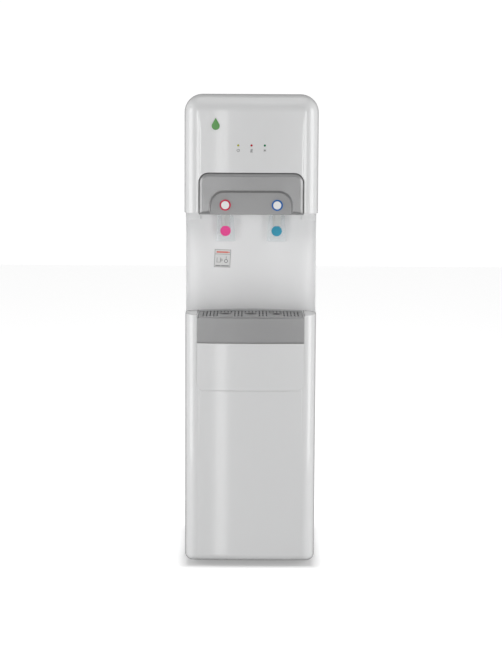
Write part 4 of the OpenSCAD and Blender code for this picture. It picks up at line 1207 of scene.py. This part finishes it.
@dataclass
class Plate:
    """A crowned front plate with softened edges and rounded lower corners."""

    node: str
    body: str
    slot: str
    finish: Finish
    layout: Layout
    corner: float = 0.0
    soften: float = 1.4 * MM
    thickness: float = 3 * MM

    def build(self, low_z: float, high_z: float) -> None:
        """Makes the plate over its node's front.

        Args:
            low_z: Lower edge.
            high_z: Upper edge.
        """
        _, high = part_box(self.node)
        half = high.x
        r = max(self.corner, 1.5 * MM)
        bottom = arched(half, low_z, r, -1.0)
        x, z = curtain(half, bottom, lambda v: np.full_like(v, high_z), 2.5 * MM, 4 * MM)
        lower = -outline_gap(x, -z, half, -low_z, r)
        rim = np.minimum(np.minimum(lower, high_z - z), half - np.abs(x))
        t = 1.0 - np.clip(rim / self.soften, 0.0, 1.0)
        front = self.layout.front + self.layout.crowned(x) + self.soften * (1.0 - np.sqrt(1.0 - 0.96 * t * t))
        back = self.layout.front + self.layout.crowned(x) + self.thickness
        name = self.node + "_plate"
        mesh = slab(name, (x, front, z), (x, back, z))
        place(finished(name, mesh, self.finish), self.body, self.slot, self.node)


@dataclass
class Bay:
    """The curved wall between the head and the lower panel."""

    layout: Layout
    wall: float = 2.5 * MM
    cheek: float = 14 * MM
    cheek_height: float = 20 * MM

    def build(self) -> None:
        """Makes the wall, its cheeks under the head and its returns."""
        lay = self.layout
        angles = np.linspace(0, math.pi, 121)
        flank = np.linspace(85 * MM, 64 * MM, 4)
        x = np.concatenate([np.full(4, 1.0), np.cos(angles), np.full(4, -1.0)]) * lay.bay_half
        y = lay.front + np.concatenate([flank, lay.bay_rim + lay.bay_reach * np.sin(angles), flank[::-1]])
        outward = np.concatenate([np.full(4, 1.0), np.zeros(121), np.full(4, -1.0)])
        under = lay.head_low - self.cheek_height
        bands = [(lay.low_top + 0.2 * MM, 0.0), (lay.low_top + 1.2 * MM, 0.0)]
        bands += [(z, 0.0) for z in np.linspace(lay.low_top + 12 * MM, under - 1 * MM, 24)]
        bands += [(under, 0.0), (under + 0.6 * MM, 0.48), (under + 1.2 * MM, 0.52),
                  (lay.head_low - 0.4 * MM, 1.0)]
        side = smooth_step(np.abs(x), lay.face_half - 0.7 * MM, lay.face_half + 0.7 * MM) * (outward == 0)
        fade = smooth_step(lay.bay_half - np.abs(x), 0.0, 3 * MM)
        front, back = [], []
        for z, share in bands:
            proud = self.cheek * share * side * fade
            front.append(np.stack([x, y - proud, np.full_like(x, z)], -1))
            inner_x = x * (1 - self.wall / lay.bay_half * (outward != 0))
            back.append(np.stack([inner_x, y + self.wall, np.full_like(x, z)], -1))
        made = Soup()
        made.add_closed(np.array(front), np.array(back))
        # The bay wall gets the brightened white, painted light against the recess's shade.
        piece = finished("bay_wall", made.mesh("bay_wall"), BAY_WHITE_PAINTED_LIGHT, (), 40)
        place(piece, "cabinet", "cover_white", "bay_panel")
        self.soffit()

    def soffit(self) -> None:
        """The ceiling over the bay, behind the bezel."""
        lay = self.layout
        _, bezel_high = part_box("tap_bezel")
        x = np.linspace(-lay.bay_half + 0.5 * MM, lay.bay_half - 0.5 * MM, 81)
        curve = lay.bay_y(x)
        start = np.where(np.abs(x) < lay.face_half + 2 * MM, bezel_high.y + 0.3 * MM, lay.front + 50 * MM)
        rows = np.linspace(0.0, 1.0, 5)
        y = start[:, None] + (curve - start)[:, None] * rows[None, :]
        under, over = lay.head_low + 1 * MM, lay.head_low + 3.5 * MM
        mesh = slab("bay_soffit", (x[:, None], y, under), (x[:, None], y, over))
        place(finished("bay_soffit", mesh, COVER_WHITE), "cabinet", "cover_white")


@dataclass
class RearLid:
    """The top cover behind the head, with a soft rear edge."""

    layout: Layout
    corner: float = 41 * MM
    rear: float = 12 * MM
    seam: float = 0.8 * MM

    def build(self) -> None:
        """Makes the lid as a shell."""
        low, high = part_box("top_cover")
        base = high.z - 44 * MM
        rows = [(low.y + 0.0, self.seam), (low.y + self.seam, 0.0)]
        rows += [(y, 0.0) for y in np.linspace(low.y + 8 * MM, high.y - self.rear, 12)]
        rows += [(high.y - self.rear + self.rear * math.sin(a), self.rear * (1.0 - math.cos(a)))
                 for a in np.linspace(0, math.pi / 2, 9)[1:]]
        made = Soup()
        rings = []
        for y, inset in rows:
            rings.append([(x, y, z) for x, z in self.ring(high.x - inset, base, high.z - inset)])
        made.add_grid(np.array(rings))
        last = np.array(rings[-1])
        drop = np.linspace(0.0, 1.0, 6)
        cap = np.repeat(last[:, None, :], 6, axis=1)
        cap[:, :, 2] = last[:, 2][:, None] * (1 - drop) + base * drop
        made.add_grid(cap)
        piece = finished("top_cover_shell", made.mesh("top_cover_shell"), COVER_WHITE, [shell(2.5 * MM)])
        place(piece, "top_lid", "cover_white", "top_cover")

    def ring(self, half: float, base: float, top: float) -> list[tuple[float, float]]:
        """The lid's outline from its left foot over the top to its right foot.

        Args:
            half: Half of the width.
            base: Height of the feet.
            top: Height of the top.

        Returns:
            The points as x and z.
        """
        r = self.corner
        left = [(-half, base)] + [(-half + r - r * math.cos(a), top - r + r * math.sin(a))
                                  for a in np.linspace(0, math.pi / 2, 12)]
        middle = [(x, top) for x in np.linspace(-half + r, half - r, 20)[1:-1]]
        return left + middle + [(-x, z) for x, z in left[::-1]]


@dataclass(frozen=True)
class LabelPrint(Finish):
    """A paper label printed with a frame, a header bar and plain pictograms."""

    centre: tuple[float, float] = (0.0, 0.0)
    tilt: float = 0.0
    size: tuple[float, float] = (0.04, 0.044)

    def surface(self, graph: Graph) -> dict[str, Any]:
        """The print, laid out from the label's middle.

        Args:
            graph: The material's graph.

        Returns:
            The inputs of the shader that vary.
        """
        vector, x, _, z = graph.place()
        dx, dz = x - self.centre[0], z - self.centre[1]
        c, s = math.cos(self.tilt), math.sin(self.tilt)
        u, v = dx * c + dz * s, dz * c - dx * s

        def box(cu: float, cv: float, half_u: float, half_v: float) -> Signal:
            """1 inside a rectangle round (cu, cv)."""
            reach = ((u - cu).absolute() - half_u).larger((v - cv).absolute() - half_v)
            return reach.span(-0.0001, 0.0001, 1.0, 0.0)

        def ring(cu: float, cv: float, r: float, line: float) -> Signal:
            """1 on a circle round (cu, cv)."""
            du, dv = u - cu, v - cv
            return ((du * du + dv * dv).power(0.5) - r).absolute().span(line, line + 0.0002, 1.0, 0.0)

        half_u, half_v = self.size[0] / 2, self.size[1] / 2
        frame = box(0, 0, half_u - 0.0012, half_v - 0.0012) * (1 - box(0, 0, half_u - 0.002, half_v - 0.002))
        rule = box(0, 0.0098, half_u - 0.002, 0.0004)
        foot = box(0.0, -0.0172, 0.0155, 0.0011) * (1 - box(-0.003, -0.0172, 0.0006, 0.002))
        cup = box(-0.0085, -0.004, 0.0044, 0.0056) * (1 - box(-0.0085, -0.0032, 0.0034, 0.0056))
        handle = ring(-0.0025, -0.004, 0.0022, 0.0005)
        drop = ring(0.0085, -0.006, 0.0036, 0.0006)
        stem = box(0.0085, 0.0012, 0.0005, 0.0035)
        ink = frame.larger(rule).larger(foot).larger(cup).larger(handle).larger(drop).larger(stem)
        header = box(-0.001, 0.0145, 0.0135, 0.0018)
        spot = ring(0.0145, 0.0145, 0.0006, 0.0009)
        paper = graph.noise(vector, 0.002, 2.0).span(0.3, 0.7)
        tone = graph.blend(paper, tuple(k * 0.96 for k in self.colour), self.colour)
        tone = graph.blend(ink * 0.8, tone, (0.06, 0.06, 0.065))
        tone = graph.blend(header.larger(spot) * 0.9, tone, (0.75, 0.12, 0.06))
        return {"Base Color": tone, "Normal": graph.bump(ink, 0.00002)}


@dataclass
class Prints:
    """The label in the bay and the plain icons under the lamps."""

    layout: Layout
    tilt: float = math.radians(-3)

    def label(self) -> None:
        """The label, bent to the wall of the bay."""
        low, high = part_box("info_label")
        centre = ((low.x + high.x) / 2, (low.z + high.z) / 2)
        half_u, half_v = 0.0195, 0.0215
        u, v = np.meshgrid(np.linspace(-half_u, half_u, 24), np.linspace(-half_v, half_v, 20), indexing="ij")
        c, s = math.cos(self.tilt), math.sin(self.tilt)
        x, z = centre[0] + u * c - v * s, centre[1] + u * s + v * c
        wall = self.layout.bay_y(x)
        mesh = slab("label_sheet", (x, wall - 0.35 * MM, z), (x, wall + 0.1 * MM, z))
        finish = LabelPrint("label_print", (0.74, 0.74, 0.735), 0.4, centre=centre, tilt=self.tilt,
                            size=(half_u * 2, half_v * 2))
        place(finished("label_sheet", mesh, finish), "cabinet", "label_paper", "info_label")

    def strokes(self, name: str, lines: Iterable[tuple[float, float, float, float]], width: float) -> None:
        """Thin raised strokes on the head's face, from (x0, z0, x1, z1) lines.

        Args:
            name: Name of the piece.
            lines: The lines.
            width: Width of a stroke.
        """
        made = Soup()
        for x0, z0, x1, z1 in lines:
            ahead = np.array([x1 - x0, z1 - z0])
            ahead /= np.linalg.norm(ahead)
            side = np.array([-ahead[1], ahead[0]]) * width / 2
            grid = []
            for px, pz in ((x0, z0), (x1, z1)):
                grid.append([(px + k * side[0], pz + k * side[1]) for k in (-1, 1)])
            flat = np.array(grid)
            y = self.layout.face_y(flat[..., 0])
            made.add_closed(np.stack([flat[..., 0], y - 0.12 * MM, flat[..., 1]], -1),
                            np.stack([flat[..., 0], y + 0.5 * MM, flat[..., 1]], -1))
        place(finished(name, made.mesh(name, 1e-7), INK_GREY), "cabinet", "black_plastic")

    def icons(self) -> None:
        """A switch sign, rising heat and a snow star under the three lamps."""
        for number, lamp in enumerate(("power_lamp", "hot_lamp", "cold_lamp")):
            low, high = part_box(lamp)
            x, z, r = (low.x + high.x) / 2, low.z - 7 * MM, 3.0 * MM
            if number == 0:
                turn = [math.radians(a) for a in np.linspace(125, 415, 16)]
                rim = [(x + r * math.cos(a), z + r * math.sin(a)) for a in turn]
                lines = [(*rim[k], *rim[k + 1]) for k in range(15)] + [(x, z, x, z + 1.15 * r)]
            elif number == 1:
                lines = [(x + k * 1.7 * MM - 0.5 * MM, z - r, x + k * 1.7 * MM + 0.5 * MM, z + r)
                         for k in (-1, 0, 1)]
                lines.append((x - 3 * MM, z - r - 0.9 * MM, x + 3 * MM, z - r - 0.9 * MM))
            else:
                turn = [math.radians(a) for a in (30, 90, 150)]
                lines = [(x - r * math.cos(a), z - r * math.sin(a), x + r * math.cos(a), z + r * math.sin(a))
                         for a in turn]
            self.strokes(lamp + "_icon", lines, 0.9 * MM)


# ---- Repeated parts, with geometry nodes ----


class PartTree:
    """A geometry node tree with named inputs, used once to make a plain mesh."""

    def __init__(self, name: str) -> None:
        """Starts a tree with an output for its geometry."""
        self.tree = bpy.data.node_groups.new(name, "GeometryNodeTree")
        self.tree.interface.new_socket("Geometry", in_out="OUTPUT", socket_type="NodeSocketGeometry")
        self.source = self.tree.nodes.new("NodeGroupInput")
        self.sink = self.tree.nodes.new("NodeGroupOutput")
        self.values: dict[str, Any] = {}

    def value(self, label: str, kind: str, amount: Any) -> Any:
        """Adds a named input and returns its socket inside the tree.

        Args:
            label: Its name.
            kind: Its type, as in NodeSocket's name.
            amount: Its value.

        Returns:
            The socket inside the tree.
        """
        made = self.tree.interface.new_socket(label, in_out="INPUT", socket_type="NodeSocket" + kind)
        self.values[made.identifier] = amount
        return self.source.outputs[label]

    def node(self, kind: str, inputs: dict | None = None, settings: dict | None = None) -> Any:
        """Adds a node, sets it and wires its inputs.

        Args:
            kind: Blender's name of the node's type.
            inputs: Socket name or number to a value, a node or a socket.
            settings: Properties of the node.

        Returns:
            The new node.
        """
        made = self.tree.nodes.new(kind)
        for name, value in (settings or {}).items():
            setattr(made, name, value)
        for name, value in (inputs or {}).items():
            if isinstance(value, bpy.types.Node):
                value = value.outputs[0]
            if isinstance(value, bpy.types.NodeSocket):
                self.tree.links.new(value, made.inputs[name])
            else:
                made.inputs[name].default_value = value
        return made

    def piece(self, name: str, last: Any, finish: Finish, angle: float = 35.0) -> bpy.types.Object:
        """Realizes the tree's geometry as a finished piece.

        Args:
            name: Name of the piece.
            last: Node whose geometry it is.
            finish: What it is made of.
            angle: Edges sharper than this many degrees stay sharp.

        Returns:
            The finished object.
        """
        real = self.node("GeometryNodeRealizeInstances", {"Geometry": last})
        dressed = self.node("GeometryNodeSetMaterial", {"Geometry": real, "Material": finish.material()})
        self.tree.links.new(dressed.outputs[0], self.sink.inputs[0])
        host = bpy.data.objects.new(name + "_host", bpy.data.meshes.new(name + "_host"))
        bpy.context.scene.collection.objects.link(host)
        modifier = host.modifiers.new("parts", "NODES")
        modifier.node_group = self.tree
        for identifier, amount in self.values.items():
            modifier[identifier] = amount
        host.update_tag()
        plain = bpy.data.meshes.new_from_object(host.evaluated_get(bpy.context.evaluated_depsgraph_get()))
        bpy.data.objects.remove(host)
        return finished(name, plain, finish, (), angle)


@dataclass
class Coolant:
    """The coil round the cold tank and the wires of the condenser."""

    def coil(self) -> None:
        """One long tube wound round the tank."""
        low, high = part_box("evaporator_coil")
        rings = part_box("cold_tank")
        tube = ((high.x - low.x) - (rings[1].x - rings[0].x)) / 4
        tube = max(2 * MM, min(tube, 4 * MM))
        radius = (high.x - low.x) / 2 - tube - 0.1 * MM
        tree = PartTree("coil_tree")
        turns = tree.value("Turns", "Float", 6.0)
        reach = tree.value("Radius", "Float", radius)
        rise = tree.value("Rise", "Float", high.z - low.z - 2 * tube)
        thick = tree.value("Tube radius", "Float", tube)
        spiral = tree.node("GeometryNodeCurveSpiral", {
            "Resolution": 64, "Rotations": turns, "Start Radius": reach, "End Radius": reach, "Height": rise})
        ring = tree.node("GeometryNodeCurvePrimitiveCircle", {"Resolution": 12, "Radius": thick})
        skin = tree.node("GeometryNodeCurveToMesh",
                         {"Curve": spiral, "Profile Curve": ring, "Fill Caps": True})
        centre = ((low.x + high.x) / 2, (low.y + high.y) / 2, low.z + tube)
        moved = tree.node("GeometryNodeTransform", {"Geometry": skin, "Translation": centre})
        place(tree.piece("evaporator_helix", moved, COPPER), "cabinet", "copper", "evaporator_coil")

    def wires(self) -> None:
        """A second row of wires on the condenser's inner side."""
        low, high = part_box("condenser")
        tree = PartTree("wire_tree")
        count = tree.value("Count", "Int", 34)
        radius = tree.value("Wire radius", "Float", 0.8 * MM)
        length = tree.value("Length", "Float", high.z - low.z - 2 * MM)
        span = (high.x - low.x) - 0.09
        row = tree.node("GeometryNodeMeshLine", {"Count": count, "Start Location": (-span / 2, 0, 0),
                                                 "Offset": (span / 33, 0, 0)})
        wire = tree.node("GeometryNodeMeshCylinder", {"Vertices": 10, "Radius": radius, "Depth": length})
        many = tree.node("GeometryNodeInstanceOnPoints", {"Points": row, "Instance": wire})
        centre = ((low.x + high.x) / 2, high.y - 8.2 * MM, (low.z + high.z) / 2)
        moved = tree.node("GeometryNodeTransform", {"Geometry": many, "Translation": centre})
        place(tree.piece("condenser_inner_wires", moved, BLACK_PAINT), "cabinet", "black_paint")

    def hoods(self) -> None:
        """Pressed hoods over the louvres of the rear panel."""
        _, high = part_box("rear_panel")
        low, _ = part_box("base_pan")
        tops = ((low.z + 150 * MM, 5), (self.upper_row(), 6))
        for number, (start, rows) in enumerate(tops):
            tree = PartTree("hood_tree")
            count = tree.value("Rows", "Int", rows)
            pitch = tree.value("Pitch", "Vector", (0.0, 0.0, 12 * MM))
            for_side = tree.value("Width", "Vector", (66 * MM, 2.4 * MM, 2.6 * MM))
            row = tree.node("GeometryNodeMeshLine",
                            {"Count": count, "Start Location": (0, 0, 0), "Offset": pitch})
            hood = tree.node("GeometryNodeMeshCube", {"Size": for_side})
            many = tree.node("GeometryNodeInstanceOnPoints", {"Points": row, "Instance": hood,
                                                              "Rotation": (math.radians(-24), 0, 0)})
            both = tree.node("GeometryNodeJoinGeometry")
            for side in (-70 * MM, 70 * MM):
                moved = tree.node("GeometryNodeTransform", {
                    "Geometry": many, "Translation": (side, high.y + 1.3 * MM, start + 5.6 * MM)})
                tree.tree.links.new(moved.outputs[0], both.inputs[0])
            place(tree.piece("louvre_hoods_" + "ab"[number], both, ZINC), "cabinet", "zinc_sheet")

    @staticmethod
    def upper_row() -> float:
        """Height of the upper louvres' first slot."""
        _, column_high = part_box("left_column")
        return column_high.z + 40 * MM


# ---- Stage ----


@dataclass(frozen=True)
class PaleFloor(Finish):
    """A floor that the camera sees brighter than the machine does, with a contact shadow painted round the
    machine's footprint.
    """

    seen_glow: float = 0.54
    glow: float = 0.1
    # Half sizes of the box round which the contact shadow is painted.
    footprint: tuple[float, float] = (0.14, 0.15)
    fade: float = 0.05

    def surface(self, graph: Graph) -> dict[str, Any]:
        """Glow that depends on who looks, and a painted contact shadow that darkens colour and camera glow
        near the footprint.

        Args:
            graph: The material's graph.

        Returns:
            The inputs of the shader that vary.
        """
        _, x, y, _ = graph.place()
        # Painted contact shadow: distance from the machine's footprint, rising from shadow to open floor.
        half_x, half_y = self.footprint
        away_x, away_y = (x.absolute() - half_x).larger(0.0), (y.absolute() - half_y).larger(0.0)
        away = (away_x * away_x + away_y * away_y).power(0.5)
        outside_painted_shadow = away.span(-0.02, self.fade).power(0.7)
        seen = graph.out("ShaderNodeLightPath", None, None, "Is Camera Ray")
        glow = seen * (self.seen_glow - self.glow) * outside_painted_shadow + self.glow
        # Tone of the painted contact shadow.
        dark = tuple(c * 0.45 for c in self.colour)
        return {"Base Color": graph.blend(outside_painted_shadow, dark, self.colour),
                "Emission Color": (1.0, 1.0, 1.0, 1.0), "Emission Strength": glow}


@dataclass
class Studio:
    """Floor, lights and camera."""

    distance: float = 3.4
    eye: float = 1.08
    aim: float = 0.731
    lens: float = 82.05
    drop: float = -0.1255
    roll: float = 0.3

    def world(self) -> None:
        """Soft white surroundings, dimmer above and below, and plain white to the camera."""
        world = bpy.data.worlds.new("studio")
        world.use_nodes = True
        bpy.context.scene.world = world
        graph = Graph(world.node_tree)
        direction = graph.node("ShaderNodeTexCoord").outputs["Generated"]
        split = graph.node("ShaderNodeSeparateXYZ", None, {0: direction})
        across, _, up = (Signal(graph, split.outputs[k]) for k in range(3))
        level = 0.13 + across.absolute().span(0.35, 1.0) * 0.85 + up.span(0.0, 1.0) * 0.16
        seen = graph.out("ShaderNodeLightPath", None, None, "Is Camera Ray")
        strength = level * (1 - seen) + seen * 1.02
        background = graph.node("ShaderNodeBackground", None, {"Color": (1, 1, 1, 1), "Strength": strength})
        graph.node("ShaderNodeOutputWorld", None, {"Surface": background.outputs[0]})

    def floor(self) -> None:
        """A pale floor with a soft contact shadow painted round the machine's footprint."""
        mesh = bpy.data.meshes.new("floor")
        reach = 6.0
        corners = [(-reach, -reach, 0), (reach, -reach, 0), (reach, reach, 0), (-reach, reach, 0)]
        mesh.from_pydata(corners, [], [(0, 1, 2, 3)])
        floor = bpy.data.objects.new("floor", mesh)
        bpy.context.scene.collection.objects.link(floor)
        paint = PaleFloor("floor_pale", (0.95, 0.95, 0.95), 0.9, fixed=(("Specular IOR Level", 0.0),))
        mesh.materials.append(paint.material())
        floor.visible_glossy = False

    def light(self, name: str, place_at: Sequence[float], target: Sequence[float],
              size: tuple[float, float], power: float) -> None:
        """Adds one softbox.

        Args:
            name: Name of the light.
            place_at: Where it stands.
            target: What it faces.
            size: Its width and height.
            power: Its power in watts.
        """
        data = bpy.data.lights.new(name, "AREA")
        data.shape = "RECTANGLE"
        data.size, data.size_y = size
        data.energy = power
        lamp = bpy.data.objects.new(name, data)
        lamp.location = place_at
        lamp.rotation_euler = (Vector(target) - Vector(place_at)).to_track_quat("-Z", "Y").to_euler()
        lamp.visible_camera = False
        bpy.context.scene.collection.objects.link(lamp)

    def lights(self) -> None:
        """Two side softboxes, a front fill and a narrow strip for the highlight."""
        self.light("left_box", (-2.2, -0.6, 0.8), (0, -0.1, 0.55), (1.2, 2.2), 16)
        self.light("right_box", (2.2, -0.6, 0.8), (0, -0.1, 0.55), (1.2, 2.2), 17)
        self.light("front_left", (-1.05, -3.1, 0.75), (0, -0.1, 0.6), (0.7, 1.5), 13)
        self.light("front_right", (1.05, -3.1, 0.75), (0, -0.1, 0.6), (0.7, 1.5), 13)
        self.light("top_box", (0.0, -0.3, 3.4), (0, 0, 0), (2.4, 2.4), 17)
        self.light("strip", (-0.315, -2.67, 0.4), (-0.315, 0, 0.4), (0.13, 2.6), 2.8)

    def camera(self, layout: Layout) -> None:
        """The camera, level with the machine's top and aimed below it.

        Args:
            layout: Where the machine's front stands.
        """
        data = bpy.data.cameras.new("camera")
        data.lens = self.lens
        data.sensor_width = 36.0
        data.shift_y = self.drop
        data.clip_end = 50.0
        camera = bpy.data.objects.new("camera", data)
        tilt = math.atan2(self.eye - self.aim, self.distance)
        pitch = Matrix.Rotation(math.radians(90) - tilt, 4, "X")
        turn = pitch @ Matrix.Rotation(math.radians(self.roll), 4, "Z")
        camera.matrix_world = Matrix.Translation((0.0, layout.front - self.distance, self.eye)) @ turn
        bpy.context.scene.collection.objects.link(camera)
        bpy.context.scene.camera = camera

    def build(self, layout: Layout) -> None:
        """Sets up the whole stage.

        Args:
            layout: Where the machine's front stands.
        """
        view = bpy.context.scene.view_settings
        view.view_transform = "Standard"
        view.look = "None"
        self.world()
        self.floor()
        self.lights()
        self.camera(layout)


NODE_FINISHES: dict[Finish, tuple[str, ...]] = {
    ZINC: ("base_pan", "rear_panel", "tank_shelf", "lower_shelf"),
    RUBBER: ("feet", "compressor_grommets"),
    CABINET: ("left_side_panel", "right_side_panel"),
    STAINLESS: ("rear_screws", "cold_tank", "hot_tank"),
    COVER_WHITE: ("top_cover", "head_cover", "bay_panel", "lower_front_panel", "left_column",
                  "right_column", "apron_panel"),
    HOUSING_WHITE: ("tray_housing",),
    SILVER: ("tap_bezel", "tray_fascia", "drip_grille"),
    TRAY_GREY: ("drip_tray",),
    NATURAL: ("tap_carrier", "cold_tank_lid", "rear_fittings"),
    MILKY: ("hot_faucet_body", "cold_faucet_body"),
    CLEAR: ("hot_lever", "cold_lever"),
    DOT_PINK: ("hot_lever_dot",),
    DOT_TEAL: ("cold_lever_dot",),
    SPRING_STEEL: ("hot_valve_plunger", "cold_valve_plunger", "hot_button_spring", "cold_button_spring"),
    CAP_WHITE: ("hot_button_cap", "cold_button_cap"),
    RING_RED: ("hot_button_ring",),
    RING_BLUE: ("cold_button_ring",),
    LAMP_YELLOW: ("power_lamp",),
    LAMP_RED: ("hot_lamp",),
    LAMP_GREEN: ("cold_lamp",),
    BADGE: ("emblem_badge",),
    PAPER: ("info_label",),
    FOAM: ("insulation_cup",),
    COPPER: ("evaporator_coil", "filter_dryer", "refrigerant_lines"),
    MICA: ("heater_band",),
    BOARD: ("control_board",),
    BLACK_PAINT: ("compressor", "condenser"),
    HEAD_BLUE: ("filter_heads",),
    FILTER_WHITE: ("sediment_filter", "carbon_filter", "post_filter"),
    TUBE: ("water_lines",),
    PLUG_BLUE: ("drain_plug",),
    BLACK_PLASTIC: ("switch_plate",),
    ROCKER_RED: ("hot_switch_rocker",),
    ROCKER_GREEN: ("cold_switch_rocker",),
}


EDGE_ROUNDS: dict[float, tuple[str, ...]] = {
    0.3: ("hot_lever", "cold_lever", "hot_lever_dot", "cold_lever_dot", "hot_button_cap", "cold_button_cap",
          "hot_button_ring", "cold_button_ring", "drip_grille", "hot_faucet_body", "cold_faucet_body",
          "emblem_badge", "power_lamp", "hot_lamp", "cold_lamp", "rear_screws", "tap_carrier"),
    0.6: ("drip_tray", "tray_housing", "switch_plate", "hot_switch_rocker", "cold_switch_rocker",
          "drain_plug", "rear_fittings", "heater_band", "filter_heads", "base_pan", "tank_shelf",
          "lower_shelf"),
    1.5: ("compressor", "compressor_grommets", "feet", "sediment_filter", "carbon_filter", "post_filter",
          "hot_tank", "cold_tank_lid", "insulation_cup", "filter_dryer"),
}


def soften_nodes(nodes: dict[str, bpy.types.Object]) -> None:
    """Rounds the edges of carried-over nodes with modifiers.

    Args:
        nodes: The nodes by name.
    """
    for width, names in EDGE_ROUNDS.items():
        for name in names:
            Modifier("WELD", {"merge_threshold": 0.00001}).put_on(nodes[name])
            flat = {"decimate_type": "DISSOLVE", "angle_limit": math.radians(0.5)}
            Modifier("DECIMATE", flat).put_on(nodes[name])
            edge_round(width * MM, 2, 35.0).put_on(nodes[name])


def dress_nodes(nodes: dict[str, bpy.types.Object]) -> None:
    """Gives every carried-over node its finish.

    Args:
        nodes: The nodes by name.
    """
    for finish, names in NODE_FINISHES.items():
        for name in names:
            for slot in nodes[name].material_slots:
                slot.material = finish.material()


def main() -> None:
    """Builds the pieces in order."""
    logging.basicConfig(level=logging.INFO, format="%(name)s: %(message)s")
    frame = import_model()
    layout = Layout.from_frame()
    Studio().build(layout)
    dress_nodes(frame["nodes"])
    soften_nodes(frame["nodes"])
    covers = Covers(layout)
    covers.head()
    covers.lower()
    TapBezel(layout).build()
    Bay(layout).build()
    RearLid(layout).build()
    prints = Prints(layout)
    prints.label()
    prints.icons()
    coolant = Coolant()
    coolant.coil()
    coolant.wires()
    coolant.hoods()
    fascia_low, fascia_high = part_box("tray_fascia")
    apron_low, apron_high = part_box("apron_panel")
    Plate("tray_fascia", "tray", "trim_silver", SILVER, layout).build(fascia_low.z, fascia_high.z)
    apron = Plate("apron_panel", "cabinet", "cover_white", COVER_WHITE, layout, covers.toe_corner)
    apron.build(apron_low.z, apron_high.z)


if __name__ == "__main__":
    main()
